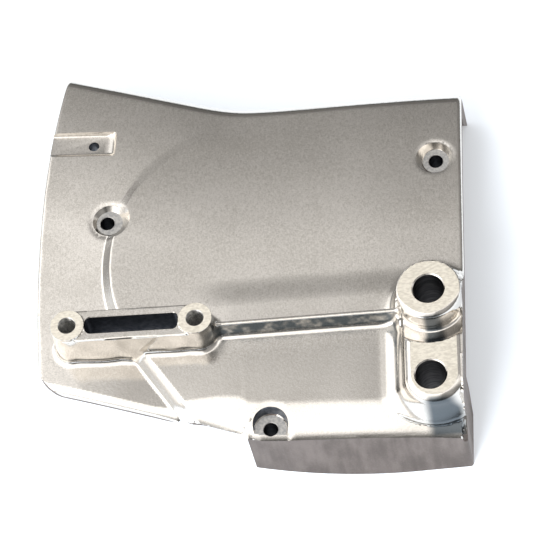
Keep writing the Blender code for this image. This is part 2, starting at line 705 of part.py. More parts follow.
def make_raised(collection):
    """The raised forms on the face, trimmed to the cover's outline."""
    raised = boss("raised_forms", obround(SLOT_BOSS_LEFT, SLOT_BOSS_RIGHT, SLOT_BOSS_RADIUS), SLOT_BOSS_TOP,
                  0.0004, SLOT_BOSS_DRAFT, SLOT_BOSS_FILLET, collection)
    ring = round_profile([(SLOT_BOSS_RADIUS, SLOT_BOSS_TOP + RING_STAND)], CROWN_HEIGHT)
    for name, centre in (("ring_left", SLOT_BOSS_LEFT), ("ring_right", SLOT_BOSS_RIGHT)):
        combine(raised, "UNION", turned(name, ring, centre, ROUND_SIDES, collection))
    rib_start = Vector(SLOT_BOSS_RIGHT) + Vector((0.6 * SLOT_BOSS_RADIUS, 0.0))
    rib_end = Vector(UPPER_BOSS) - Vector((0.7 * UPPER_BOSS_RADIUS, 0.0))
    rib_end.y = rib_start.y
    combine(raised, "UNION", boss("rib", obround(rib_start, rib_end, RIB_TOP_RADIUS), RIB_TOP, 0.0004,
                                  RIB_DRAFT, RIB_FILLET, collection))
    lower = boss("lower_boss", lower_boss_outline(), LOWER_BOSS_TOP, LOWER_BOSS_EDGE, BORED_BOSS_DRAFT,
                 LOWER_BOSS_FILLET, collection)
    combine(lower, "DIFFERENCE", make_scoop(collection))
    combine(raised, "UNION", lower)
    circle = [Vector((UPPER_BOSS[0] + UPPER_BOSS_RADIUS * cos(2.0 * pi * step / ROUND_SIDES),
                      UPPER_BOSS[1] + UPPER_BOSS_RADIUS * sin(2.0 * pi * step / ROUND_SIDES)))
              for step in range(ROUND_SIDES)]
    combine(raised, "UNION", boss("upper_boss", circle, UPPER_BOSS_TOP, UPPER_BOSS_EDGE, BORED_BOSS_DRAFT,
                                  UPPER_BOSS_FILLET, collection))
    rings = []
    for z in (0.5 * ROOT_HEIGHT, ABOVE_ALL):
        ring = moved_out(front_of(cover_outline()), TRIM_LEAN * (z - CROWN_HEIGHT) - TRIM_INSET)
        rings.append([(p.x, p.y, z) for p in ring])
    combine(raised, "INTERSECT", loft("outline_trim", rings, collection))
    return raised


def lower_boss_outline():
    """The lower boss: a round end below its bore and straight sides that run up to the upper boss."""
    left = LOWER_BOSS[0] - LOWER_BOSS_LEFT_REACH
    right = right_edge_x(LOWER_BOSS[1]) + 0.5 * LOWER_BOSS_EDGE
    radius = 0.5 * (right - left)
    middle = 0.5 * (right + left)
    points = [Vector((right, UPPER_BOSS[1])), Vector((left, UPPER_BOSS[1]))]
    steps = ROUND_SIDES // 2
    for step in range(steps + 1):
        angle = pi + pi * step / steps
        points.append(Vector((middle + radius * cos(angle), LOWER_BOSS[1] + radius * sin(angle))))
    return divided(points, 1.5 * OUTLINE_STEP)


def make_scoop(collection):
    """The ring-shaped scoop round the upper boss, cut into the lower boss."""
    floor = LOWER_BOSS_TOP - SCOOP_DEPTH
    sweep = SCOOP_RADIUS - UPPER_BOSS_RADIUS
    profile = [(0.0, ABOVE_ALL), (SCOOP_RADIUS, ABOVE_ALL), (SCOOP_RADIUS, LOWER_BOSS_TOP)]
    steps = 6
    for step in range(1, steps + 1):
        inward = sin(0.5 * pi * step / steps)
        profile.append((SCOOP_RADIUS - 0.6 * sweep * inward, floor + SCOOP_DEPTH * (1.0 - inward) ** 1.2))
    profile.append((0.0, floor))
    scoop = turned("scoop", profile, UPPER_BOSS, ROUND_SIDES, collection)
    # half a facet round, so that its facets don't meet the upper boss's edge to edge
    scoop.rotation_euler.z = pi / ROUND_SIDES
    return scoop


def bore_profile(radius, top, chamfer, low):
    """A hole with a chamfered mouth."""
    return round_profile([(radius + chamfer + OVERRUN, top + OVERRUN), (radius + chamfer, top),
                          (radius, top - chamfer)], low)


def counterbore_profile(floor, depth, floor_radius, rim_radius):
    """A drafted counterbore, down to its floor."""
    lift = depth + OVERRUN
    slope = (rim_radius - floor_radius) / depth
    return round_profile([(floor_radius + slope * lift, floor + lift), (floor_radius, floor)], floor)


def recess_hole():
    """Centre of the recess's hole."""
    tilt = radians(RECESS_TILT)
    return (RECESS_RIGHT_X - RECESS_HOLE_INSET * cos(tilt), RECESS_Y - RECESS_HOLE_INSET * sin(tilt))


def counterbore_floor(centre, depth):
    """Height of a counterbore's floor, below the lowest of the plate's face at its sides and above it."""
    x, y = centre
    rim = COUNTERBORE_RIM_RADIUS
    return min(plate_height(x + rim, y), plate_height(x - rim, y), plate_height(x, y + rim)) - depth


def lower_floor():
    """Height of the lower counterbore's floor, below the plate's face above it."""
    rim_y = LOWER_SCREW[1] + LOWER_COUNTERBORE_RIM_RADIUS
    return plate_height(LOWER_SCREW[0], rim_y) - LOWER_COUNTERBORE_DEPTH


def make_cutters(collection):
    """Everything drilled, milled or cored from the face."""
    cutters = []
    for name, centre, top in (("bore_upper", UPPER_BOSS, UPPER_BOSS_TOP),
                              ("bore_lower", LOWER_BOSS, LOWER_BOSS_TOP)):
        profile = bore_profile(BORE_RADIUS, top, BORE_CHAMFER, -OVERRUN)
        cutters.append(turned(name, profile, centre, HOLE_SIDES, collection))
    ring_top = SLOT_BOSS_TOP + RING_STAND
    profile = bore_profile(THREAD_BORE_RADIUS, ring_top, BORE_CHAMFER, ring_top - THREAD_DEPTH)
    for name, centre in (("thread_left", SLOT_BOSS_LEFT), ("thread_right", SLOT_BOSS_RIGHT)):
        cutters.append(turned(name, profile, centre, HOLE_SIDES, collection))
    shifted = (UPPER_LEFT_SCREW[0] + UPPER_LEFT_COUNTERBORE_SHIFT, UPPER_LEFT_SCREW[1])
    upper_pair = (("counterbore_left", shifted, UPPER_LEFT_COUNTERBORE_DEPTH),
                  ("counterbore_right", UPPER_RIGHT_SCREW, UPPER_RIGHT_COUNTERBORE_DEPTH))
    for name, centre, depth in upper_pair:
        profile = counterbore_profile(counterbore_floor(centre, depth), depth,
                                      COUNTERBORE_FLOOR_RADIUS, COUNTERBORE_RIM_RADIUS)
        cutters.append(turned(name, profile, centre, HOLE_SIDES, collection))
    profile = counterbore_profile(lower_floor(), LOWER_COUNTERBORE_DEPTH,
                                  LOWER_COUNTERBORE_FLOOR_RADIUS, LOWER_COUNTERBORE_RIM_RADIUS)
    cutters.append(turned("counterbore_lower", profile, LOWER_SCREW, HOLE_SIDES, collection))
    cutters.append(make_open_side(lower_floor(), collection))
    profile = round_profile([(SCREW_HOLE_RADIUS, CROWN_HEIGHT + OVERRUN)], -OVERRUN)
    for name, centre in (("screw_left", UPPER_LEFT_SCREW), ("screw_right", UPPER_RIGHT_SCREW),
                         ("screw_lower", LOWER_SCREW)):
        cutters.append(turned(name, profile, centre, HOLE_SIDES, collection))
    cutters.append(make_slot(collection))
    cutters.append(make_recess(collection))
    floor = crown_height(*recess_hole()) - RECESS_DEPTH
    cutters.append(turned("recess_hole", round_profile([(RECESS_HOLE_RADIUS, floor + OVERRUN)], -OVERRUN),
                          recess_hole(), HOLE_SIDES, collection))
    return cutters


def make_open_side(floor, collection):
    """Opens the lower screw's counterbore to the lower edge."""
    rise = LOWER_COUNTERBORE_DEPTH + OVERRUN
    slope = (LOWER_COUNTERBORE_RIM_RADIUS - LOWER_COUNTERBORE_FLOOR_RADIUS) / LOWER_COUNTERBORE_DEPTH
    x, y = LOWER_SCREW
    end = -HALF_LENGTH - OVERRUN
    rings = []
    for lift in (0.0, rise):
        half = LOWER_COUNTERBORE_FLOOR_RADIUS + slope * lift
        z = floor + lift
        rings.append([(x - half, end, z), (x + half, end, z), (x + half, y, z), (x - half, y, z)])
    return loft("screw_lower_open", rings, collection)


def make_slot(collection):
    """The pocket between the two rings of the slotted boss."""
    first, second = Vector(SLOT_BOSS_LEFT), Vector(SLOT_BOSS_RIGHT)
    along = (second - first).normalized()
    inset = SLOT_BOSS_RADIUS + SLOT_END_WALL
    corner = 0.3 * SLOT_WIDTH
    side = Vector((-along.y, along.x)) * 0.5 * SLOT_WIDTH
    start, end = first + along * inset, second - along * inset
    corners = [(p.x, p.y, corner) for p in (start - side, end - side, end + side, start + side)]
    return extruded("slot", rounded(corners), SLOT_BOSS_TOP - SLOT_DEPTH, ABOVE_ALL, collection)


def make_recess(collection):
    """The shallow recess at the upper left, open at the left edge."""
    tilt = radians(RECESS_TILT)
    along = Vector((cos(tilt), sin(tilt)))
    side = Vector((-along.y, along.x)) * 0.5 * RECESS_WIDTH
    right = Vector((RECESS_RIGHT_X, RECESS_Y))
    start = right - along * (RECESS_RIGHT_X + HALF_WIDTH + OVERRUN)
    stages = ((RECESS_DEPTH, -RECESS_CORNER), (RECESS_DEPTH - RECESS_CORNER, 0.0),
              (0.0, 0.5 * RECESS_DRAFT), (-OVERRUN, RECESS_DRAFT))
    rings = []
    for depth, grow in stages:
        share = max(0.0, depth) / RECESS_DEPTH
        end = right - along * RECESS_RUN_OUT * share * share
        low = side - side.normalized() * RECESS_LOWER_DRAFT * share
        ring = moved_out([start - low, end - low, end + side, start + side], grow)
        rings.append([(p.x, p.y, crown_height(p.x, p.y) - depth) for p in ring])
    return loft("recess", rings, collection)


def make_material():
    """Cast and polished aluminium."""
    material = bpy.data.materials.new("cast_aluminium")
    material.use_nodes = True
    shader = material.node_tree.nodes["Principled BSDF"]
    shader.inputs["Base Color"].default_value = ALLOY_COLOUR
    shader.inputs["Metallic"].default_value = 1.0
    shader.inputs["Roughness"].default_value = ALLOY_ROUGHNESS
    return material


def main():
    """Builds the casting."""
    for thing in list(bpy.data.objects):
        bpy.data.objects.remove(thing)
    parts = bpy.data.collections.new("engine_side_cover")
    guides = bpy.data.collections.new("cutters")
    for collection in (parts, guides):
        bpy.context.scene.collection.children.link(collection)

    casting = make_block(parts)
    combine(casting, "DIFFERENCE", make_cavity(guides), "MANIFOLD")
    inside = make_inside(guides)
    combine(inside, "INTERSECT", make_skin_trim(guides))
    # the columns, walls and holes all meet on the mating face
    combine(casting, "UNION", inside, "MANIFOLD")
    combine(casting, "UNION", make_raised(guides), "MANIFOLD")
    for cutter in make_cutters(guides):
        combine(casting, "DIFFERENCE", cutter, "MANIFOLD")

    casting.data.materials.append(make_material())
    casting.data.shade_smooth()
    casting.data.set_sharp_from_angle(angle=radians(28.0))
    for guide in guides.objects:
        guide.hide_render = True
        guide.display_type = "WIRE"


main()
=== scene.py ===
# Engine side cover, cast in one piece and polished: its fine form, its finishes and the studio.
# The form is a field of distances in millimetres, below 0 in the metal, that is meshed on a grid and then
# machined with cutters. X runs along the cover, Y up it and Z out of its face.
from itertools import product
from math import cos, pi, radians, sin, tan

import bmesh
import bpy
import numpy as np
from mathutils import Matrix, Vector


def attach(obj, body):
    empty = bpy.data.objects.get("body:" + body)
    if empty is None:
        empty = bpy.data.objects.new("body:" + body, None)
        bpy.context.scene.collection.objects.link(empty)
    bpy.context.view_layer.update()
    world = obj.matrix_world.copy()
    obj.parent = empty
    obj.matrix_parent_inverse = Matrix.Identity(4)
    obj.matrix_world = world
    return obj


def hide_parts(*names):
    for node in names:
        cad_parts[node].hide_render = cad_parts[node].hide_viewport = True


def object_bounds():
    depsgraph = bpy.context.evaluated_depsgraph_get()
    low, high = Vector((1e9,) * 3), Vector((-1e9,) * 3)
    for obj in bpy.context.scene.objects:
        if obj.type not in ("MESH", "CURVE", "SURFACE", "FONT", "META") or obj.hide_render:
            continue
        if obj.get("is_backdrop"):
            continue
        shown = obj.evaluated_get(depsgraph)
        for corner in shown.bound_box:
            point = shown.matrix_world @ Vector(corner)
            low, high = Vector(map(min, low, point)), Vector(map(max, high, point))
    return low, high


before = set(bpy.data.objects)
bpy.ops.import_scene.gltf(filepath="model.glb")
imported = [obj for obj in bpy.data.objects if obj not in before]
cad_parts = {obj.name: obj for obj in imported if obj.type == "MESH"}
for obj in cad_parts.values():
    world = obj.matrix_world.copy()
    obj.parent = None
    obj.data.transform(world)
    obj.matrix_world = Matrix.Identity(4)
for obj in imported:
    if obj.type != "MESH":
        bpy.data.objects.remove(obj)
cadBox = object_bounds()
cadLow, cadHigh = (1000.0 * np.array(list(corner)) for corner in cadBox)
millimetre = 0.001
rollShare = 0.9

# Shapes of the field

def smoothStep(low, high, value):
    share = np.clip((value - low) / (high - low), 0.0, 1.0)
    return share * share * (3.0 - 2.0 * share)


def roundUnion(first, second, radius):  # joined with a fillet
    inner = np.hypot(np.maximum(radius - first, 0.0), np.maximum(radius - second, 0.0))
    return np.maximum(radius, np.minimum(first, second)) - inner


def roundCut(first, second, radius):  # what both hold, with a rounded edge
    return -roundUnion(-first, -second, radius)


def rolledEdge(face, side, width, drop):  # a face that rolls over as an ellipse, then runs on straight
    upright = np.sqrt(1.0 - rollShare ** 2)
    reach, depth = width / rollShare, drop / (1.0 - upright)
    across = np.maximum(0.0, side + width) / reach
    down = np.maximum(0.0, face + depth) / depth
    ellipse = (np.hypot(across, down) - 1.0) * np.minimum(reach, depth)
    pitch = depth * rollShare / (reach * upright)
    straight = (face + drop + pitch * side) / np.sqrt(1.0 + pitch ** 2)
    return np.where(side > 0.0, straight, np.where(across > 0.0, ellipse, face))


def barDistance(x, y, start, end):  # distance to a straight bar's middle line
    alongX, alongY = end[0] - start[0], end[1] - start[1]
    share = ((x - start[0]) * alongX + (y - start[1]) * alongY) / (alongX ** 2 + alongY ** 2)
    share = np.clip(share, 0.0, 1.0)
    return np.hypot(x - start[0] - share * alongX, y - start[1] - share * alongY)


# Outline of the cover

outline = {
    "halfWidth": 95.7,
    "halfLength": 98.5,
    "leftRadius": 600.0,
    "leftWidestY": -22.0,
    "rightBulge": 0.4,
    "rightLean": 2.9,
    "topRightY": 74.5,
    "topAngle": -0.6,
    "topKneeX": -6.6,
    "topKneeRadius": 130.0,
    "topRiseAngle": 18.8,
    "lowerAngle": 18.2,
    "skirtLeftX": -2.5,
    "skirtStand": 1.5,
    "skirtLowestX": 64.0,
    "skirtRadius": 290.0,
    "skirtRise": 0.7,
    "skirtFlare": 3.4,
    "flareStartX": 4.0,
    "lipHeight": 29.5,
    "cornerRadius": {"topLeft": 4.5, "topRight": 1.2, "lowerLeft": 11.0, "lowerRight": 1.2},
    "blankGrowth": 1.2,
    "trimStart": 36.0,
}


def rightDistance(x, y):
    o = outline
    share = (o["topRightY"] - y) / (o["topRightY"] + o["halfLength"])
    return o["halfWidth"] - o["rightLean"] * share + 4.0 * o["rightBulge"] * share * (1.0 - share) - x


def leftDistance(x, y):
    o = outline
    rise = y - o["leftWidestY"]
    return x + o["halfWidth"] - o["leftRadius"] + np.sqrt(o["leftRadius"] ** 2 - rise ** 2)


def topDistance(x, y):  # two straights that meet in a rounded knee
    o = outline
    flat, steep = radians(o["topAngle"]), radians(o["topRiseAngle"])
    kneeY = o["topRightY"] + (o["halfWidth"] - o["topKneeX"]) * tan(flat)
    across, down = o["topKneeX"] - x, kneeY - y
    belowFlat = down * cos(flat) + across * sin(flat)
    belowSteep = down * cos(steep) + across * sin(steep)
    fill = o["topKneeRadius"] * (1.0 / cos(0.5 * (steep - flat)) - 1.0)
    return 0.5 * (belowFlat + belowSteep + np.hypot(belowFlat - belowSteep, 2.0 * fill))


def skirtCurveY(x):
    o = outline
    across = np.clip(o["skirtLowestX"] - x, 0.0, None)
    curve = o["skirtRadius"] - np.sqrt(o["skirtRadius"] ** 2 - np.minimum(across, 200.0) ** 2)
    rise = o["skirtRise"] * np.maximum(0.0, x - o["skirtLowestX"]) / (o["halfWidth"] - o["skirtLowestX"])
    return curve + rise - o["halfLength"]


def lowerEdgeY(x):  # the slanting edge, then the skirt
    o = outline
    slantStart = float(skirtCurveY(o["skirtLeftX"])) + o["skirtStand"]
    ahead = o["skirtLeftX"] - x
    slant = slantStart + ahead * tan(radians(o["lowerAngle"])) - np.clip(o["skirtStand"] - ahead, 0.0, None)
    return np.where(ahead > 0.0, slant, skirtCurveY(x))


def skirtFlare(x):
    share = np.clip((x - outline["flareStartX"]) / (outline["halfWidth"] - outline["flareStartX"]), 0.0, 1.0)
    return outline["skirtFlare"] * np.sin(pi * share)


# Plate: a shallow dome with a curved edge, falling gently to its rolled sides

openEdge = {"kept": 2.4, "leftReach": 4.2, "rightReach": 3.6, "past": 3.0}
plate = {
    "crown": 36.0,
    "wall": 4.5,
    "topFall": (7.0, 75.0),
    "rightFall": (2.0, 55.0),
    "leftFall": (1.0, 50.0),
    "lowerFall": (0.8, 50.0),
    "topRoll": (6.0, 2.5),
    "sideRoll": (2.0, 1.4),
    "lowerRoll": (3.6, 3.0),
    "skirtRoll": (16.0, 6.4),
    "skirtRollFade": (-45.0, -2.0),
    "domeCentre": (8.1, -5.5),
    "domeRadius": 72.0,
    "domeTangent": 214.0,
    "domeStep": 5.0,
    "domeStartAngle": 108.0,
    "domeFullAngle": 225.0,
    "rampShare": 0.66,
    "rampLeast": 2.7,
    "rampStraight": 0.6,
    "footDip": 0.10,
    "footRise": 0.18,
    "topWall": 3.2,
    "skirtWall": 3.4,
    "hollowFillet": 2.5,
}


def fallTowards(distance, fall):
    amount, reach = fall
    return amount * np.clip(1.0 - np.maximum(distance, 0.0) / reach, 0.0, None) ** 2


def domeDrop(x, y):
    p = plate
    across, up = x - p["domeCentre"][0], y - p["domeCentre"][1]
    angle = np.degrees(np.arctan2(up, across)) % 360.0
    depth = p["domeStep"] * smoothStep(p["domeStartAngle"], p["domeFullAngle"], angle)
    tangent = radians(p["domeTangent"])
    straight = across * cos(tangent) + up * sin(tangent)
    outside = np.where(angle > p["domeTangent"], straight, np.hypot(across, up)) - p["domeRadius"]
    # a straight slope between two rounded ends
    along = np.clip(outside / np.maximum(p["rampShare"] * depth, p["rampLeast"]), -1.0, 1.0)
    straight, bend = p["rampStraight"], 1.0 - p["rampStraight"]
    past = np.maximum(np.abs(along) - straight, 0.0)
    rise = np.minimum(np.abs(along), straight) + past - 0.5 * past ** 2 / bend
    dip = p["footDip"] - p["footRise"] * np.clip((outside - 3.0) / 25.0, 0.0, 1.0)
    dip = dip * smoothStep(-1.0, 3.0, outside) * smoothStep(190.0, 222.0, angle)
    return depth * (0.5 + np.sign(along) * rise / (1.0 + straight) + dip)


def crownHeight(x, y):
    p = plate
    height = p["crown"] - domeDrop(x, y)
    height = height - fallTowards(topDistance(x, y), p["topFall"])
    height = height - fallTowards(rightDistance(x, y), p["rightFall"])
    height = height - fallTowards(leftDistance(x, y), p["leftFall"])
    return height - fallTowards(y - lowerEdgeY(x), p["lowerFall"])


def slopeShare(x, y, step=0.25):  # turns a height over a slope into a distance
    tiltX = (crownHeight(x + step, y) - crownHeight(x - step, y)) / (2.0 * step)
    tiltY = (crownHeight(x, y + step) - crownHeight(x, y - step)) / (2.0 * step)
    return 1.0 / np.sqrt(1.0 + tiltX ** 2 + tiltY ** 2)


def lowerRoll(x):
    share = smoothStep(*plate["skirtRollFade"], x)
    return [thin + (wide - thin) * share for thin, wide in zip(plate["lowerRoll"], plate["skirtRoll"])]


def sideField(x, y, z):  # the outline's walls, the skirt leaning in towards its lip
    lip = skirtFlare(x) * np.clip(z / outline["lipHeight"], 0.0, 1.0)
    corner = outline["cornerRadius"]
    right, left, top = -rightDistance(x, y), -leftDistance(x, y), -topDistance(x, y)
    low = lowerEdgeY(x) + lip - y
    ends = []
    for end, name in ((top, "top"), (low, "lower")):
        leftCorner = roundCut(left, end, corner[name + "Left"])
        ends.append(np.where(x < 0.0, leftCorner, roundCut(right, end, corner[name + "Right"])))
    return np.where(y > 0.0, *ends), low


def rolls(x, y, low):  # each edge that rolls over: how far past it, width, drop
    return [(-topDistance(x, y), *plate["topRoll"]), (-rightDistance(x, y), *plate["sideRoll"]),
            (-leftDistance(x, y), *plate["sideRoll"]), (low, *lowerRoll(x))]


def skinField(x, y, z, low):  # the outer face alone, rolled over at its edges
    face = (z - crownHeight(x, y) + rimDish(x, y)) * slopeShare(x, y)
    for roll in rolls(x, y, low):
        face = rolledEdge(face, *roll)
    return face


def rollDepth(side, width, drop):  # how far a rolled edge lies below the face
    upright = np.sqrt(1.0 - rollShare ** 2)
    share = rollShare * np.clip(1.0 + side / width, 0.0, 1.0)
    return drop * (1.0 - np.sqrt(1.0 - share ** 2)) / (1.0 - upright)


def skinHeight(x, y, low):
    height = crownHeight(x, y)
    for roll in rolls(x, y, low):
        height = height - rollDepth(*roll)
    return height


def ceilingHeight(x, y, low):  # of the hollow, following the face but not its edges
    rollWidth, rollDrop = lowerRoll(x)
    inside = np.clip(np.maximum(plate["skirtWall"], -low) / rollWidth, 0.0, 1.0)
    return crownHeight(x, y) - rollDrop * (1.0 - np.sqrt(1.0 - (1.0 - inside) ** 2)) - plate["wall"]


def plateField(x, y, z):
    side, low = sideField(x, y, z)
    body = skinField(x, y, z, low)
    # the hollow behind, with a ceiling that follows the face
    ceiling = (z - ceilingHeight(x, y, low)) * slopeShare(x, y)
    hollow = roundCut(ceiling, plate["topWall"] - topDistance(x, y), plate["hollowFillet"])
    # the open sides keep a wall here, which is cut away later
    lowWall = np.where(x < outline["skirtLeftX"], openEdge["kept"], plate["skirtWall"])
    hollow = roundCut(hollow, low + lowWall, plate["hollowFillet"])
    hollow = np.maximum(hollow, openEdge["kept"] - np.minimum(leftDistance(x, y), rightDistance(x, y)))
    return np.maximum(body, -hollow)


def rimDish(x, y):  # the face swells above the rib and sinks round the pockets
    sunk, reach = screws["dish"]
    fromUpper = np.hypot(x - boredBoss["upper"][0], y - boredBoss["upper"][1])
    above = y - slotBoss["right"][1]
    near = smoothStep(rib["swellFrom"], rib["swellTo"], -np.minimum(above, fromUpper))
    drop = -rib["swell"] * near * smoothStep(-0.8, 0.8, above) * smoothStep(-30.0, -6.0, x)
    for pocket in screws["pockets"].values():
        (holeX, holeY), rim = pocket["hole"], pocket["rimRadius"]
        away = np.hypot(x - holeX - pocket["shift"], y - holeY) - rim
        drop = drop + sunk * np.clip(1.0 - away / reach, 0.0, 1.0) ** 2
    return drop


# Raised forms on the face

slotBoss = {
    "left": (-78.1, -40.7),
    "right": (-21.7, -41.8),
    "radius": 7.5,
    "top": 50.5,
    "edge": 0.7,
    "draft": 0.03,
    "fillet": 2.6,
    "ringTop": 51.5,
    "threadRadius": 4.0,
    "threadDepth": 15.0,
    "threadPitch": 1.25,
    "threadHeight": 0.5,
    "slotWidth": 7.8,
    "slotEndWall": 0.3,
    "slotEdge": 0.3,
    "wave": 0.22,
    "slotDepth": 14.0,
}
rib = {
    "top": 44.7,
    "halfWidth": 0.9,
    "edge": 0.7,
    "draft": 0.14,
    "fillet": 1.8,
    "swell": 1.0,
    "swellFrom": -26.0,
    "swellTo": -12.0,
}
boredBoss = {
    "upper": (80.8, -38.6),
    "upperRadius": 14.0,
    "upperTop": 56.0,
    "upperEdge": 0.8,
    "upperEdgeFront": 2.6,
    "upperFillet": 4.8,
    "lower": (80.1, -76.9),
    "lowerLeftReach": 11.4,
    "lowerTop": 50.0,
    "lowerEdge": 3.8,
    "lowerFillet": 12.0,
    "hiddenFillet": 2.0,
    "draft": 0.04,
    "sideLean": 0.045,
    "sideChamfer": 1.0,
    "boreRadius": 6.75,
    "chamfer": 0.5,
    "tubeWall": 2.5,
    "scoopRadius": 23.0,
    "scoopDepth": 4.8,
    "facing": 0.1,
}
rootHeight = 27.5


def raisedBar(x, y, z, form, start, end, radius):
    wall = barDistance(x, y, start, end) - radius - form["draft"] * (form["top"] - z)
    return roundCut(roundCut(wall, z - form["top"], form["edge"]), rootHeight - z, 0.5)


def slotBossField(x, y, z):
    s = slotBoss
    wave = s["wave"] * np.sin(0.40 * x + 0.9 * np.sin(0.23 * x)) * np.cos(0.28 * z)
    bar = raisedBar(x, y, z, s, s["left"], s["right"], s["radius"] + wave)
    for centre in (s["left"], s["right"]):
        ring = np.maximum(np.hypot(x - centre[0], y - centre[1]) - s["radius"], z - s["ringTop"] - 0.3)
        bar = np.minimum(bar, np.maximum(ring, rootHeight + 5.0 - z))
    return bar


def ribField(x, y, z):
    startX = slotBoss["right"][0] + 0.6 * slotBoss["radius"]
    endX = boredBoss["upper"][0] - 0.7 * boredBoss["upperRadius"]
    ribY = slotBoss["right"][1]
    return raisedBar(x, y, z, rib, (startX, ribY), (endX, ribY), rib["halfWidth"])


def boredBossFields(x, y, z):
    b = boredBoss
    side = sideField(x, y, z)[0] - b["sideLean"] * (z - plate["crown"])
    fromUpper = np.hypot(x - b["upper"][0], y - b["upper"][1])
    upperTop = b["upperTop"] + b["facing"]
    upper = fromUpper - b["upperRadius"] - b["draft"] * (upperTop - z)
    front = smoothStep(0.1, 0.8, (b["upper"][1] - y) / np.maximum(fromUpper, 1.0))
    edge = b["upperEdge"] + (b["upperEdgeFront"] - b["upperEdge"]) * front
    upper = roundCut(roundCut(upper, z - upperTop, edge), rootHeight - z, 0.5)
    left = b["lower"][0] - b["lowerLeftReach"]
    right = outline["halfWidth"] - 0.5 * outline["rightLean"] + 0.5
    middle, radius = 0.5 * (left + right), 0.5 * (right - left)
    lowerTop = b["lowerTop"] + b["facing"]
    lower = barDistance(x, y, (middle, b["lower"][1]), (middle, b["upper"][1])) - radius
    lower = lower - b["draft"] * (lowerTop - z)
    lower = roundCut(roundCut(lower, z - lowerTop, b["lowerEdge"]), rootHeight - z, 0.5)
    lower = roundCut(lower, (side + z - lowerTop + b["sideChamfer"]) * 0.7071, 0.6)
    # the scoop: a round cove about the upper boss
    coveRadius = b["scoopRadius"] - b["upperRadius"] - 1.0
    cove = np.hypot(np.maximum(fromUpper - b["upperRadius"] - 1.0, 0.0) / coveRadius,
                    np.minimum(z - b["lowerTop"], 0.0) / b["scoopDepth"]) - 1.0
    cove = np.where(z > b["lowerTop"], fromUpper - b["scoopRadius"], cove * 0.5 * coveRadius)
    lower = roundCut(lower, -cove, 0.4)
    return upper, lower


# Behind the plate

screws = {
    "pockets": {
        "upperLeft": {"hole": (-63.8, 19.7), "shift": 1.0, "depth": 2.0,
                      "floorRadius": 6.2, "rimRadius": 7.9},
        "upperRight": {"hole": (83.5, 39.6), "shift": 0.0, "depth": 3.5,
                       "floorRadius": 6.2, "rimRadius": 7.9},
        "lower": {"hole": (8.1, -88.0), "shift": 0.0, "depth": 5.1,
                  "floorRadius": 7.2, "rimRadius": 8.9},
    },
    "holeRadius": 3.2,
    "columnRadius": 6.4,
    "pocketWall": 2.0,
    "dish": (0.35, 2.4),
}
returns = {
    "wall": 3.2,
    "slopeHeight": 18.0,
    "topBack": 1.5,
    "topFront": 11.5,
    "bottomBack": 25.5,
    "bottomFront": 29.5,
    "ribHalfWidth": 1.5,
    "ribLow": 20.5,
    "belowSkin": 3.0,
    "spare": 1.5,
}
recess = {
    "rightX": -60.4,
    "y": 59.8,
    "width": 12.0,
    "tilt": -4.0,
    "depth": 2.5,
    "corner": 0.8,
    "runOut": 3.6,
    "draft": 0.5,
    "lowerDraft": 1.4,
    "holeRadius": 2.4,
    "holeInset": 10.0,
    "padRadius": 5.2,
}
postLow = -10.0  # where what reaches the mating face starts, before it is cut


def recessHole():
    tilt = radians(recess["tilt"])
    inset = recess["holeInset"]
    return (recess["rightX"] - inset * cos(tilt), recess["y"] - inset * sin(tilt))


def insideField(x, y, z):
    posts, wall = [], screws["pocketWall"]
    for name, pocket in screws["pockets"].items():
        posts.append((pocket["hole"], screws["columnRadius"], postLow))
        posts.append((pocket["hole"], pocket["floorRadius"] + wall, pocketFloor(name) - wall))
    tube = boredBoss["boreRadius"] + boredBoss["tubeWall"]
    posts += [(boredBoss[name], tube, postLow) for name in ("upper", "lower")]
    posts.append((recessHole(), recess["padRadius"], 0.5 * plate["crown"]))
    inside = np.full(np.broadcast_shapes(x.shape, y.shape, z.shape), 1000.0)
    for centre, radius, low in posts:
        post = np.hypot(x - centre[0], y - centre[1]) - radius
        inside = roundUnion(inside, np.maximum(post, low - z), 1.0)
    # stiffening ribs, the web between the tubes and the corner returns
    r, o = returns, outline
    leftHole, rightHole = (screws["pockets"][name]["hole"] for name in ("upperLeft", "upperRight"))
    for start, end, low in ((leftHole, rightHole, r["ribLow"]),
                            (rightHole, boredBoss["upper"], r["ribLow"]),
                            (boredBoss["lower"], boredBoss["upper"], postLow)):
        wall = barDistance(x, y, start, end) - r["ribHalfWidth"]
        inside = roundUnion(inside, roundCut(wall, low - z, 0.4), 1.0)
    inner = o["halfWidth"] - o["rightLean"] - r["wall"] - x
    topEnd, lowEnd = returnEnds(z)
    between = np.minimum(topEnd - r["spare"] - y, y - lowEnd - r["spare"])
    inside = roundUnion(inside, np.maximum(inner, between), 1.0)
    side, low = sideField(x, y, z)
    return np.maximum(inside, z - skinHeight(x, y, low) + r["belowSkin"])


def returnEnds(z):  # where the two returns of the right side end
    r, o = returns, outline
    rise = np.clip(z / r["slopeHeight"], 0.0, 1.0)
    topEnd = o["topRightY"] - r["topBack"] - (r["topFront"] - r["topBack"]) * rise
    return topEnd, r["bottomBack"] + (r["bottomFront"] - r["bottomBack"]) * rise - o["halfLength"]


def pocketFloor(name):
    pocket = screws["pockets"][name]
    (x, y), shift, rim = pocket["hole"], pocket["shift"], pocket["rimRadius"]
    places = [(x + shift, y + rim)]
    if name != "lower":
        places += [(x + shift + rim, y), (x + shift - rim, y)]
    return min(faceHeight(*place) for place in places) - pocket["depth"]


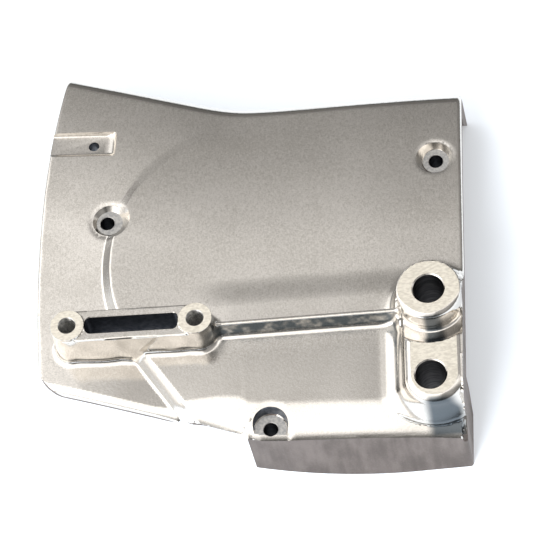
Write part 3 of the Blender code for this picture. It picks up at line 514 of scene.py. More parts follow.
def coverField(x, y, z):
    body = plateField(x, y, z)
    body = roundUnion(body, insideField(x, y, z), 1.5)
    upper, lower = boredBossFields(x, y, z)
    b = boredBoss
    aboveFace = smoothStep(30.0, 36.0, z)
    body = roundUnion(body, lower, b["hiddenFillet"] + (b["lowerFillet"] - b["hiddenFillet"]) * aboveFace)
    body = roundUnion(body, upper, np.where(z > plate["crown"] + 6.0, 2.0, boredBoss["upperFillet"]))
    body = roundUnion(body, ribField(x, y, z), rib["fillet"])
    body = roundUnion(body, slotBossField(x, y, z), slotBoss["fillet"])
    growth = outline["blankGrowth"] + 0.1 * np.maximum(0.0, z - outline["trimStart"])
    return np.maximum(body, sideField(x, y, z)[0] - growth)


# Meshing the field

grid = {
    "coarse": 1.5,
    "fine": 0.75,
    "finest": 0.45,
    "margin": 2.0,
    "belowFace": 3.0,
    "finestY": (-46.0, -38.0),
    "fineY": (-76.0, -30.0),
    "fineX": ((-88.0, -15.0), (66.0, 96.0)),
    "fineZ": (29.0, 58.5),
    "coarseZ": (19.0, 60.0),
}


def gridLines(low, high, fineBands, coarse):  # wide steps, narrower inside each band
    lines, place = [], low
    while place < high:
        lines.append(place)
        step = coarse
        for bandLow, bandHigh, fine in fineBands:
            if bandLow <= place < bandHigh:
                step = min(step, fine)
        place += step
    lines.append(high)
    return np.array(lines)


def surfaceNet(field, xs, ys, zs):
    values = np.empty((len(xs), len(ys), len(zs)))
    for first in range(0, len(xs), 24):  # in slices, to keep the memory small
        part = xs[first:first + 24]
        values[first:first + 24] = field(part[:, None, None], ys[None, :, None], zs[None, None, :])
    inside = values < 0.0
    shape = tuple(size - 1 for size in values.shape)
    corner = lambda array, i, j, k: array[i:i + shape[0], j:j + shape[1], k:k + shape[2]]
    count = sum(corner(inside, *c).astype(np.int8) for c in product((0, 1), repeat=3))
    cells = np.argwhere((count > 0) & (count < 8))
    index = np.full(shape, -1, dtype=np.int64)
    index[tuple(cells.T)] = np.arange(len(cells))
    # each point is the middle of where the surface crosses its cell's edges
    total, hits = np.zeros((len(cells), 3)), np.zeros(len(cells))
    lines = (xs, ys, zs)
    for axis in range(3):
        others = [a for a in range(3) if a != axis]
        for offsets in product((0, 1), repeat=2):
            start = cells.copy()
            for other, offset in zip(others, offsets):
                start[:, other] += offset
            end = start.copy()
            end[:, axis] += 1
            a, b = values[tuple(start.T)], values[tuple(end.T)]
            crossed = (a < 0.0) != (b < 0.0)
            share = a / np.where(crossed, a - b, 1.0)
            place = np.stack([lines[i][start[:, i]] for i in range(3)], axis=1)
            place[:, axis] += share * (lines[axis][end[:, axis]] - lines[axis][start[:, axis]])
            total[crossed] += place[crossed]
            hits[crossed] += 1
    points = total / hits[:, None]
    # each crossed grid edge gives a face through the four cells round it
    faces = []
    for axis in range(3):
        u, v = (axis + 1) % 3, (axis + 2) % 3
        low = [slice(1, -1)] * 3
        low[axis] = slice(0, -1)
        high = list(low)
        high[axis] = slice(1, None)
        a, b = inside[tuple(low)], inside[tuple(high)]
        for solidFirst in (True, False):
            found = np.argwhere((a & ~b) if solidFirst else (~a & b))
            if len(found) == 0:
                continue
            found[:, u] += 1
            found[:, v] += 1
            ring = []
            for du, dv in ((-1, -1), (0, -1), (0, 0), (-1, 0)):
                cell = found.copy()
                cell[:, u] += du
                cell[:, v] += dv
                ring.append(index[tuple(cell.T)])
            faces.append(np.stack(ring if solidFirst else ring[::-1], axis=1))
    return points, np.concatenate(faces)


def fieldSlope(field, points, step=0.03):
    slope = np.empty_like(points)
    for axis in range(3):
        offset = np.zeros(3)
        offset[axis] = step
        ahead, behind = (points + offset).T, (points - offset).T
        slope[:, axis] = (field(*ahead) - field(*behind)) / (2.0 * step)
    return slope


def settle(field, points, faces, rounds, reach):  # evens the points out and drops them onto the surface
    pairs = np.concatenate([faces[:, [i, (i + 1) % 4]] for i in range(4)])
    for turn in range(rounds + 2):
        slope = fieldSlope(field, points)
        length = np.maximum(np.linalg.norm(slope, axis=1, keepdims=True), 0.2)
        move = field(*points.T)[:, None] * slope / length ** 2
        size = np.linalg.norm(move, axis=1, keepdims=True)
        points = points - move * np.minimum(1.0, reach / np.maximum(size, 1e-9))
        if turn < rounds:
            total, count = np.zeros_like(points), np.zeros(len(points))
            np.add.at(total, pairs[:, 0], points[pairs[:, 1]])
            np.add.at(total, pairs[:, 1], points[pairs[:, 0]])
            np.add.at(count, pairs.ravel(), 1)
            drift = total / count[:, None] - points
            normal = slope / length
            drift -= normal * np.sum(drift * normal, axis=1, keepdims=True)
            points = points + 0.4 * drift
    return points


def newPiece(name, points, faces):  # points in millimetres
    mesh = bpy.data.meshes.new(name)
    points = [tuple(point) for point in np.asarray(points) * millimetre]
    mesh.from_pydata(points, [], [tuple(face) for face in faces])
    mesh.update()
    piece = bpy.data.objects.new(name, mesh)
    bpy.context.scene.collection.objects.link(piece)
    return piece


def castBlank():
    g = grid
    coarse = g["coarse"] * 1.0
    reachX, reachY = outline["halfWidth"] + g["margin"], outline["halfLength"] + g["margin"]
    xs = gridLines(-reachX, reachX, [(low, high, g["fine"]) for low, high in g["fineX"]], coarse)
    ys = gridLines(-reachY, reachY, [(*g["fineY"], g["fine"]), (*g["finestY"], g["finest"])], coarse)
    zs = gridLines(-g["belowFace"], boredBoss["upperTop"] + g["margin"],
                   [(*g["fineZ"], g["fine"]), (*g["coarseZ"], coarse)], 2.0 * coarse)
    points, faces = surfaceNet(bottomedField, xs, ys, zs)
    points = settle(bottomedField, points, faces, 4, 0.5)
    print("casting blank:", len(points), "points,", len(faces), "faces")
    return newPiece("cover_casting_polished", points, faces)


def bottomedField(x, y, z):  # closed a little behind the mating face, which is cut later
    return np.maximum(coverField(x, y, z), -1.5 - z)


# Machining

cutLow, facingHigh = -8.0, 70.0  # cutters run on below the mating face and over the bosses


def outward(piece):  # a cutter cuts only when its faces point out
    form = bmesh.new()
    form.from_mesh(piece.data)
    bmesh.ops.recalc_face_normals(form, faces=form.faces)
    form.to_mesh(piece.data)
    form.free()
    return piece


def turnedCutter(name, profile, centre, steps=96):
    points, faces = [], []
    rows = len(profile)
    for step in range(steps):
        angle = 2.0 * pi * step / steps
        points += [(centre[0] + r * cos(angle), centre[1] + r * sin(angle), z) for r, z in profile]
    for step in range(steps):
        first, second = step * rows, (step + 1) % steps * rows
        faces += [(first + i, second + i, second + i + 1, first + i + 1) for i in range(rows - 1)]
    faces.append(tuple(step * rows for step in range(steps)))
    faces.append(tuple(step * rows + rows - 1 for step in reversed(range(steps))))
    return outward(newPiece(name, points, faces))


def prismCutter(name, rings):  # through rings of points with one height each
    count = len(rings[0])
    points = [point for ring in rings for point in ring]
    faces = [tuple(reversed(range(count))), tuple((len(rings) - 1) * count + i for i in range(count))]
    for level in range(len(rings) - 1):
        low, high = level * count, (level + 1) * count
        faces += [(low + i, low + (i + 1) % count, high + (i + 1) % count, high + i) for i in range(count)]
    return outward(newPiece(name, points, faces))


def boxCutter(name, low, high):
    (x0, y0, z0), (x1, y1, z1) = low, high
    return prismCutter(name, [[(x0, y0, z), (x1, y0, z), (x1, y1, z), (x0, y1, z)] for z in (z0, z1)])


def roundedBar(start, end, halfWidth, corner, steps=10):
    start, end = Vector(start), Vector(end)
    along = (end - start).normalized()
    side = Vector((-along.y, along.x))
    points = []
    corners = ((end, 1, -1, -0.5), (end, 1, 1, 0.0), (start, -1, 1, 0.5), (start, -1, -1, 1.0))
    for place, ahead, aside, turn in corners:
        centre = place - along * ahead * corner + side * aside * (halfWidth - corner)
        for step in range(steps + 1):
            angle = pi * (turn + 0.5 * step / steps)
            points.append(centre + corner * (along * cos(angle) + side * sin(angle)))
    return points


def threadCutter(name, centre, top):
    s = slotBoss
    perTurn, perPitch = 48, 8
    turns = (s["threadDepth"] - 0.6) / s["threadPitch"]
    rows = int(turns * perPitch)
    points, faces = [], []
    for row in range(rows + 1):
        z = top - 0.3 - row * s["threadPitch"] / perPitch
        for step in range(perTurn):
            phase = (row / perPitch + step / perTurn) % 1.0
            crest = 1.0 - abs(2.0 * phase - 1.0)
            radius = s["threadRadius"] + 0.05 - s["threadHeight"] * crest
            angle = 2.0 * pi * step / perTurn
            points.append((centre[0] + radius * cos(angle), centre[1] + radius * sin(angle), z))
    for row in range(rows):
        for step in range(perTurn):
            a, b = row * perTurn + step, row * perTurn + (step + 1) % perTurn
            faces.append((a + perTurn, b + perTurn, b, a))
    faces.append(tuple(range(perTurn)))
    faces.append(tuple(rows * perTurn + step for step in reversed(range(perTurn))))
    return outward(newPiece(name, points, faces))


def faceHeight(x, y):
    return float(crownHeight(np.array(x), np.array(y)))


def boreCutter(name, centre, top, radius, low):
    chamfer = boredBoss["chamfer"]
    wide = radius + chamfer
    profile = [(wide + 3.0, top + 3.0), (wide, top), (radius, top - chamfer), (radius, low)]
    return turnedCutter(name, profile, centre)


def screwCutters():
    s = screws
    cutters = []
    for name, pocket in s["pockets"].items():
        (x, y), depth, wide = pocket["hole"], pocket["depth"], pocket["floorRadius"]
        slope = (pocket["rimRadius"] - wide) / depth
        floor = pocketFloor(name)
        rise = depth + 8.0
        profile = [(wide + slope * rise, floor + rise), (wide + 0.12, floor + 0.5), (wide - 0.35, floor)]
        cutters.append(turnedCutter("pocket_" + name, profile, (x + pocket["shift"], y)))
        hole = s["holeRadius"]
        profile = [(hole + 0.65, floor + 0.4), (hole, floor - 0.25), (hole, cutLow)]
        cutters.append(turnedCutter("screw_" + name, profile, (x, y)))
        if name == "lower":
            end = -outline["halfLength"] - 8.0
            rings = []
            for lift in (0.0, rise):
                half = wide + slope * lift
                rings.append([(x - half, end, floor + lift), (x + half, end, floor + lift),
                              (x + half, y, floor + lift), (x - half, y, floor + lift)])
            cutters.append(prismCutter("pocket_lower_open", rings))
    return cutters


def recessCutter():
    r = recess
    tilt = radians(r["tilt"])
    start = Vector((r["rightX"], r["y"])) - Vector((cos(tilt), sin(tilt))) * 50.0
    rings = []
    along = Vector((cos(tilt), sin(tilt)))
    stages = [(r["depth"], -r["corner"]), (r["depth"] - 0.3 * r["corner"], -0.3 * r["corner"]),
              (r["depth"] - r["corner"], 0.0), (0.45 * r["depth"], 0.2 * r["draft"]),
              (0.2 * r["depth"], 0.5 * r["draft"]), (0.0, r["draft"]), (-6.0, r["draft"] + 3.0)]
    for depth, grow in stages:
        share = max(0.0, depth) / r["depth"]
        lean = 0.5 * r["lowerDraft"] * share
        aside = Vector((-along.y, along.x)) * lean
        end = Vector((r["rightX"], r["y"])) + along * (grow - r["runOut"] * share ** 2)
        bar = roundedBar(start + aside, end + aside, 0.5 * r["width"] + grow - lean, 1.3 + max(0.0, grow))
        rings.append([(p.x, p.y, faceHeight(p.x, p.y) - depth) for p in bar])
    return prismCutter("recess", rings)


def slotCutter():
    s = slotBoss
    first, second = Vector(s["left"]), Vector(s["right"])
    inset = (second - first).normalized() * (s["radius"] + s["slotEndWall"])
    edge = s["slotEdge"]
    rings = []
    for z, grow in ((s["top"] - s["slotDepth"], 0.0), (s["top"] - edge, 0.0), (s["top"] + edge, 2.0 * edge),
                    (60.0, 2.0 * edge)):
        end = inset * (1.0 - 0.5 * grow / inset.length)
        half, corner = 0.5 * s["slotWidth"] + grow, 0.3 * s["slotWidth"] + grow
        bar = roundedBar(first + end, second - end, half, corner)
        rings.append([(p.x, p.y, z) for p in bar])
    return prismCutter("slot", rings)


def outlineRing(z, growth=0.0, steps=1200):  # where the outline's walls stand at one height
    angles = np.arange(steps) * 2.0 * pi / steps
    alongX, alongY = np.cos(angles), np.sin(angles)
    near, far = np.zeros(steps), np.full(steps, 300.0)
    for turn in range(40):
        middle = 0.5 * (near + far)
        inside = sideField(alongX * middle, alongY * middle, z)[0] < growth
        near, far = np.where(inside, middle, near), np.where(inside, far, middle)
    ring = np.stack([alongX * near, alongY * near], axis=1)
    if growth == 0.0:
        ring = np.clip(ring, cadLow[:2] + 0.01, cadHigh[:2] - 0.01)
    return [(x, y, z) for x, y in ring]


def outlineTrim():  # what stays inside the walls, leaning out beside the bosses
    rings = [outlineRing(z) for z in (postLow, 0.0, outline["lipHeight"], outline["trimStart"])]
    rise = 30.0
    rings.append(outlineRing(outline["trimStart"] + rise, boredBoss["sideLean"] * rise))
    return prismCutter("outline_trim", rings)


def stripCutter(name, levels, reach):  # along an open edge, from below up to the ceiling
    count = len(levels[0][0])
    points, faces = [], []
    for path, z in levels:
        ahead = np.gradient(path, axis=0)
        aside = np.stack([ahead[:, 1], -ahead[:, 0]], axis=1) / np.linalg.norm(ahead, axis=1, keepdims=True)
        for x, y in np.concatenate([path + openEdge["past"] * aside, (path - reach * aside)[::-1]]):
            ceiling = float(ceilingHeight(np.array(x), np.array(y), lowerEdgeY(np.array(x)) - y))
            points.append((x, y, ceiling if z is None else z))
    ring = 2 * count
    for level in range(len(levels) - 1):
        a, b = level * ring, (level + 1) * ring
        faces += [(a + i, a + (i + 1) % ring, b + (i + 1) % ring, b + i) for i in range(ring)]
    for start in (0, (len(levels) - 1) * ring):
        last = start + ring - 1
        faces += [(start + i, start + i + 1, last - 1 - i, last - i) for i in range(count - 1)]
    return outward(newPiece(name, points, faces))


def openingCutters():
    ring = np.array(outlineRing(0.0))[:, :2]
    endX = outline["skirtLeftX"]
    left = ring[(ring[:, 0] < endX) & (topDistance(*ring.T) > plate["topWall"])]
    end = np.array([[endX, float(lowerEdgeY(np.array(endX - 0.001)))]])
    left = np.concatenate([left, end])
    right = []
    for z in (postLow, 0.0, returns["slopeHeight"], None):
        topEnd, lowEnd = returnEnds(plate["crown"] if z is None else z)
        ys = np.linspace(lowEnd, topEnd, 120)
        right.append((np.stack([rightDistance(0.0, ys), ys], axis=1), z))
    return [stripCutter("left_opening", [(left, postLow), (left, None)], openEdge["leftReach"]),
            stripCutter("right_opening", right, openEdge["rightReach"])]


def cutterSet():
    b, s = boredBoss, slotBoss
    wide = outline["halfLength"] + 20.0
    cutters = [boxCutter("mating_face", (-wide, -wide, -20.0), (wide, wide, 0.0))]
    cutters.append(turnedCutter("upper_facing", [(18.0, facingHigh), (18.0, b["upperTop"])], b["upper"], 64))
    cutters.append(boxCutter("lower_facing", (60.0, -100.0, b["lowerTop"]), (110.0, -56.5, facingHigh)))
    for side in ("left", "right"):
        top, radius = s["ringTop"], s["threadRadius"] - s["threadHeight"]
        cutters.append(turnedCutter("ring_facing_" + side, [(10.0, facingHigh), (10.0, top)], s[side], 64))
        cutters.append(boreCutter("thread_bore_" + side, s[side], top, radius, top - s["threadDepth"]))
        cutters.append(threadCutter("thread_" + side, s[side], top))
    for name in ("upper", "lower"):
        cutters.append(boreCutter("bore_" + name, b[name], b[name + "Top"], b["boreRadius"], cutLow))
    cutters += openingCutters()
    cutters += screwCutters()
    cutters.append(recessCutter())
    cutters.append(slotCutter())
    hole, radius = recessHole(), recess["holeRadius"]
    floor = faceHeight(*hole) - recess["depth"]
    cutters.append(turnedCutter("recess_hole", [(radius, floor + 3.0), (radius, cutLow)], hole))
    return cutters


def machined(blank):
    for cutter in [outlineTrim()] + cutterSet():
        modifier = blank.modifiers.new(cutter.name, "BOOLEAN")
        modifier.operation = "INTERSECT" if cutter.name == "outline_trim" else "DIFFERENCE"
        modifier.solver = "MANIFOLD"
        modifier.object = cutter
    seen = blank.evaluated_get(bpy.context.evaluated_depsgraph_get())
    mesh = bpy.data.meshes.new_from_object(seen)
    cutters = [modifier.object for modifier in blank.modifiers]
    blank.modifiers.clear()
    blank.data = mesh
    for cutter in cutters:
        bpy.data.objects.remove(cutter)
    print("machined casting:", len(mesh.polygons), "faces")
    return blank


# Finishes

class Wire:  # a socket that takes part in sums
    def __init__(self, finish, socket):
        self.finish, self.socket = finish, socket

    def sum(self, operation, first, second):
        node = self.finish.add("ShaderNodeMath", {"operation": operation}, {0: first, 1: second})
        return node[0]

    def __add__(self, other):
        return self.sum("ADD", self, other)

    def __sub__(self, other):
        return self.sum("SUBTRACT", self, other)

    def __mul__(self, other):
        return self.sum("MULTIPLY", self, other)

    def __rsub__(self, other):
        return self.sum("SUBTRACT", other, self)

    __radd__, __rmul__ = __add__, __mul__


class Made:  # a node whose outputs come by name or number
    def __init__(self, finish, node):
        self.finish, self.node = finish, node

    def __getitem__(self, key):
        return Wire(self.finish, self.node.outputs[key])


class Finish:
    def __init__(self, name):
        self.material = bpy.data.materials.new(name)
        self.material.use_nodes = True
        self.tree = self.material.node_tree
        self.tree.nodes.clear()

    def add(self, kind, settings=None, values=None):
        node = self.tree.nodes.new(kind)
        for key, value in (settings or {}).items():
            if key == "stops":  # places and greys of a ramp
                elements = node.color_ramp.elements
                for element, (place, grey) in ((elements[0], value[0]), (elements[1], value[-1])):
                    element.position, element.color = place, (grey, grey, grey, 1.0)
                for place, grey in value[1:-1]:
                    elements.new(place).color = (grey, grey, grey, 1.0)
            else:
                setattr(node, key, value)
        for key, value in (values or {}).items():
            if isinstance(value, Wire):
                self.tree.links.new(value.socket, node.inputs[key])
            else:
                node.inputs[key].default_value = value
        return Made(self, node)

    def place(self, stretch=(1000.0, 1000.0, 1000.0)):  # the point in millimetres, stretched if asked
        spot = self.add("ShaderNodeTexCoord")["Object"]
        return self.add("ShaderNodeVectorMath", {"operation": "MULTIPLY"}, {0: spot, 1: stretch})[0]

    def noise(self, size, detail=2.0, stretch=(1.0, 1.0, 1.0), rough=0.5):
        spot = self.place(tuple(1000.0 * s / size for s in stretch))
        return self.add("ShaderNodeTexNoise", None,
                        {"Vector": spot, "Scale": 1.0, "Detail": detail, "Roughness": rough})[0]

    def between(self, value, low, high, toLow=0.0, toHigh=1.0):
        values = {"Value": value, "From Min": low, "From Max": high, "To Min": toLow, "To Max": toHigh}
        return self.add("ShaderNodeMapRange", {"interpolation_type": "SMOOTHSTEP"}, values)[0]

    def within(self, x, y, place):  # a place on the face with soft borders
        left, right = self.between(x, *place["left"]), self.between(x, *place["right"])
        return left * right * self.between(y, *place["top"]) * self.between(y, *place["low"])

    def mixed(self, share, first, second):  # two colours
        return self.add("ShaderNodeMix", {"data_type": "RGBA"}, {0: share, 6: first, 7: second})[2]

    def bump(self, height, distance, strength=1.0, normal=None):
        values = {"Height": height, "Distance": distance, "Strength": strength}
        if normal is not None:
            values["Normal"] = normal
        return self.add("ShaderNodeBump", None, values)[0]

    def close(self, **values):
        inputs = {key.replace("_", " "): value for key, value in values.items()}
        surface = self.add("ShaderNodeBsdfPrincipled", None, inputs)[0]
        self.add("ShaderNodeOutputMaterial", None, {"Surface": surface})
        return self.material


finishes = {
    "polished": (0.70, 0.67, 0.63, 1.0),
    "polishedDark": (0.50, 0.475, 0.435, 1.0),
    # steep: a dark blue-grey that stands for a painted dark reflection on steep walls, in the scoop and at
    # the lower boss's foot
    "steep": (0.075, 0.090, 0.102, 1.0),
    "cast": (0.230, 0.197, 0.180, 1.0),
    "castDark": (0.150, 0.128, 0.116, 1.0),
    "machined": (0.82, 0.78, 0.69, 1.0),
    "machinedDark": (0.66, 0.62, 0.54, 1.0),
    "thread": (0.62, 0.61, 0.58, 1.0),
    "threadDark": (0.34, 0.34, 0.34, 1.0),
    # bored and pocket: machined and cast texture in dark bluish greys, partly a painted shade inside the
    # bores, pocket walls, screw holes and slot
    "bored": (0.30, 0.30, 0.31, 1.0),
    "boredDark": (0.14, 0.14, 0.15, 1.0),
    "pocket": (0.20, 0.21, 0.23, 1.0),
    "pocketDark": (0.11, 0.12, 0.14, 1.0),
    "floor": (0.50, 0.49, 0.47, 1.0),
    "floorDark": (0.34, 0.34, 0.34, 1.0),
    "satinRoughness": 0.32,
    "glossRoughness": 0.09,
    "grain": 0.000035,
    # places of painted dark reflection in the scoop and at the lower boss's foot, and how strongly it is
    # painted
    "scoopDark": {"left": (76.5, 79.5), "right": (87.0, 84.5), "top": (-50.0, -53.0), "low": (-62.5, -60.0)},
    "footDark": {"left": (75.0, 80.0), "right": (95.0, 90.0), "top": (-86.0, -89.0), "low": (-97.5, -95.0)},
    "darkShare": 0.95,
}


def polishedFinish():
    look = finishes
    f = Finish("polished_face")
    parts = f.add("ShaderNodeSeparateXYZ", None, {0: f.place()})
    x, y, z = parts[0], parts[1], parts[2]
    tilt = f.add("ShaderNodeSeparateXYZ", None, {0: f.add("ShaderNodeNewGeometry")["Normal"]})[2]
    # the broad face is satin, and everything low, raised or rolled over is buffed bright
    satin = f.between(y, -66.0, -34.0) * f.between(tilt, 0.93, 0.985)
    cloud, streak = f.noise(34.0, 2.0), f.noise(16.0, 3.0, (0.35, 1.0, 1.0))
    grain, fine = f.noise(1.0, 2.0, (1.0, 0.6, 1.0)), f.noise(0.42, 1.0)
    worn = 0.9 * cloud + 0.8 * streak - 0.40
    worn = worn + (0.3 + 0.7 * satin) * (1.5 * grain + 3.0 * fine - 2.25)
    colour = f.mixed(worn, look["polished"], look["polishedDark"])
    # painted dark reflection on the walls of the long boss and of the rib
    steep = f.between(tilt, 0.25, 0.6, 1.0, 0.0) * f.between(z, 36.0, 38.0) * f.between(x, 66.0, 62.0)
    steep = steep * f.between(x, -24.0, -12.0, 0.10, 1.0) * f.between(f.noise(5.0, 2.0), 0.3, 0.6, 0.5, 1.0)
    # painted dark reflection in the scoop's middle and at the boss's foot as well
    dark = f.within(x, y, look["scoopDark"]) + f.within(x, y, look["footDark"])
    steep = steep + look["darkShare"] * f.between(tilt, 0.88, 0.98, 1.0, 0.0) * dark
    # the painted dark reflection goes into the colour here
    colour = f.mixed(steep, colour, look["steep"])
    roughness = f.between(satin, 0.0, 1.0, look["glossRoughness"], look["satinRoughness"])
    roughness = roughness + 0.10 * streak + 0.16 * steep - 0.04
    normal = f.bump(grain * 0.5 + fine * 0.5, look["grain"])
    return f.close(Base_Color=colour, Metallic=1.0, Roughness=roughness, Normal=normal)


def castFinish():  # walls and everything behind, left as cast
    f = Finish("cast_wall")
    blotch, grit = f.noise(9.0, 3.0, (1.0, 1.0, 0.5)), f.noise(0.7, 3.0)
    streak = f.noise(3.0, 2.0, (1.0, 1.0, 0.12))
    share = f.between(0.5 * blotch + 0.3 * streak + 0.2 * grit, 0.36, 0.64)
    colour = f.mixed(share, finishes["cast"], finishes["castDark"])
    return f.close(Base_Color=colour, Metallic=1.0, Roughness=0.58, Normal=f.bump(grit, 0.00008))


def plainFinish(name, first, second, roughness, size, stretch, depth):
    f = Finish(name)
    lines = f.noise(size, 2.0, stretch)
    colour = f.mixed(f.between(lines, 0.3, 0.7), finishes[first], finishes[second])
    return f.close(Base_Color=colour, Metallic=1.0, Roughness=roughness, Normal=f.bump(lines, depth))


def allFinishes():  # in the order of the face choices
    return [polishedFinish(),
            plainFinish("machined_face", "machined", "machinedDark", 0.55, 0.9, (0.5, 1.0, 1.0), 0.00002),
            # the bored and pocket walls carry a painted shade in their dark greys, besides their texture
            plainFinish("bored_wall", "bored", "boredDark", 0.28, 1.2, (0.2, 0.2, 1.0), 0.00003),
            plainFinish("pocket_wall", "pocket", "pocketDark", 0.30, 2.0, (1.0, 1.0, 1.0), 0.00004),
            castFinish(),
            plainFinish("pocket_floor", "floor", "floorDark", 0.45, 1.1, (1.0, 1.0, 1.0), 0.00003),
            plainFinish("thread", "thread", "threadDark", 0.22, 1.5, (1.0, 1.0, 1.0), 0.00003)]


def meshTable(mesh):  # points in millimetres, each corner's point, first corners
    points = np.empty(len(mesh.vertices) * 3)
    mesh.vertices.foreach_get("co", points)
    vertexOf = np.empty(len(mesh.loops), dtype=np.int32)
    mesh.loops.foreach_get("vertex_index", vertexOf)
    starts = np.empty(len(mesh.polygons), dtype=np.int32)
    mesh.polygons.foreach_get("loop_start", starts)
    return points.reshape(-1, 3) / millimetre, vertexOf, starts


def paint(piece):
    mesh = piece.data
    mesh.materials.clear()
    for material in allFinishes():
        mesh.materials.append(material)
    points, vertexOf, starts = meshTable(mesh)
    normals = np.empty(len(mesh.polygons) * 3)
    mesh.polygons.foreach_get("normal", normals)
    tilt = normals.reshape(-1, 3)[:, 2]
    x, y, z = points.T
    whole = lambda fits: np.logical_and.reduceat(fits[vertexOf], starts)  # faces with every corner fitting
    off = lambda centre: np.hypot(x - centre[0], y - centre[1])
    choice = np.zeros(len(mesh.polygons), dtype=np.int32)
    b, s = boredBoss, slotBoss
    side, low = sideField(x, y, z)
    side = side - b["sideLean"] * np.maximum(0.0, z - outline["trimStart"])
    choice[whole(np.abs(side) < 0.06) & (np.abs(tilt) < 0.3)] = 4
    lip = lowerEdgeY(x) + skirtFlare(x) - y
    choice[whole(z < skinHeight(x, y, lip) - 1.0) & (tilt < 0.3)] = 4
    choice[whole(z < ceilingHeight(x, y, lip) + 0.2)] = 4
    for height in (b["upperTop"], b["lowerTop"], s["ringTop"], 0.0):
        choice[whole(np.abs(z - height) < 0.01) & (np.abs(tilt) > 0.99)] = 1
    for centre in (b["upper"], b["lower"]):
        choice[whole(off(centre) < b["boreRadius"] + 0.02)] = 2
    for centre in (s["left"], s["right"]):
        choice[whole((off(centre) < s["threadRadius"] + 0.1) & (z < s["ringTop"] + 0.01))] = 6
    for name, pocket in screws["pockets"].items():
        floor, wide, shift = pocketFloor(name), pocket["floorRadius"], pocket["shift"]
        rise = wide + (pocket["rimRadius"] - wide) / pocket["depth"] * (z - floor)
        across = off((pocket["hole"][0] + shift, pocket["hole"][1]))
        if name == "lower":
            across = np.where(y < pocket["hole"][1], np.abs(x - pocket["hole"][0]), across)
        onWall = (np.abs(across - rise) < 0.3) & (z < floor + 0.6) | (np.abs(across - rise) < 0.05)
        hole = off(pocket["hole"])
        choice[whole(onWall & (z > floor - 0.01) & (z < floor + 8.0))] = 3
        choice[whole((np.abs(z - floor) < 0.41) & (across < wide - 0.3))] = 5
        choice[whole((hole < screws["holeRadius"] + 0.02) & (z < floor + 0.01))] = 3
    # the slot's inside takes the dark pocket wall finish, a painted shade in the slot
    choice[whole(barDistance(x, y, s["left"], s["right"]) < 0.5 * s["slotWidth"] + 0.02) &
           whole((z > s["top"] - s["slotDepth"] - 0.1) & (z < s["top"])) & whole(off(s["left"]) > 7.0) &
           whole(off(s["right"]) > 7.0)] = 3
    choice[whole(off(recessHole()) < recess["holeRadius"] + 0.02)] = 3
    mesh.polygons.foreach_set("material_index", choice)
    return choice


def finishNormals(piece, choice):  # the polished skin takes its shading from the field itself
    mesh = piece.data
    mesh.shade_smooth()
    mesh.set_sharp_from_angle(angle=radians(30.0))
    # a change of finish is a sharp edge
    edgeOf = np.empty(len(mesh.loops), dtype=np.int32)
    mesh.loops.foreach_get("edge_index", edgeOf)
    points, vertexOf, starts = meshTable(mesh)
    cornerChoice = np.repeat(choice, np.diff(np.append(starts, len(mesh.loops))))
    least, most = np.full(len(mesh.edges), 99), np.full(len(mesh.edges), -1)
    np.minimum.at(least, edgeOf, cornerChoice)
    np.maximum.at(most, edgeOf, cornerChoice)
    sharp = np.empty(len(mesh.edges), dtype=bool)
    mesh.edges.foreach_get("use_edge_sharp", sharp)
    mesh.edges.foreach_set("use_edge_sharp", sharp | (least != most))
    mesh.update()
    corners = np.empty(len(mesh.loops) * 3, dtype=np.float32)
    mesh.corner_normals.foreach_get("vector", corners)
    corners = corners.reshape(-1, 3)
    near = np.abs(coverField(*points.T)) < 0.12
    slope = fieldSlope(coverField, points)
    slope /= np.maximum(np.linalg.norm(slope, axis=1, keepdims=True), 1e-6)
    fieldNormals = slope[vertexOf]
    agree = near[vertexOf] & (np.sum(fieldNormals * corners, axis=1) > 0.93) & (cornerChoice == 0)
    corners[agree] = fieldNormals[agree]
    mesh.normals_split_custom_set([tuple(normal) for normal in corners])


def makeCover():
    piece = machined(castBlank())
    finishNormals(piece, paint(piece))
    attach(piece, "root")
    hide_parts("cover_casting")
    return piece


# Studio

camera = {
    "fromZenith": 29.3,
    "swing": 14.0,
    "roll": 16.8,
    "focalPixels": 4500.0,
    "imagePixels": 540.0,
    "pixelsPerMillimetre": 2.27,
    "aim": (8.7, -9.5, 30.0),
    "sensor": 36.0,
}


def makeCamera():
    c = camera
    away, swing, roll = radians(c["fromZenith"]), radians(c["swing"]), radians(c["roll"])
    back = Vector((sin(away) * sin(swing), -sin(away) * cos(swing), cos(away)))
    level = Vector((cos(swing), sin(swing), 0.0))
    up = back.cross(level)
    right, top = level * cos(roll) - up * sin(roll), up * cos(roll) + level * sin(roll)
    eye = Vector(c["aim"]) + back * (c["focalPixels"] / c["pixelsPerMillimetre"])
    lens = bpy.data.cameras.new("camera")
    lens.sensor_width = c["sensor"]
    lens.lens = c["sensor"] * c["focalPixels"] / c["imagePixels"]
    lens.clip_end = 10.0
    holder = bpy.data.objects.new("camera", lens)
    turned = Matrix((right, top, back)).transposed().to_4x4()
    holder.matrix_world = Matrix.Translation(eye * millimetre) @ turned
    bpy.context.scene.collection.objects.link(holder)
    bpy.context.scene.camera = holder


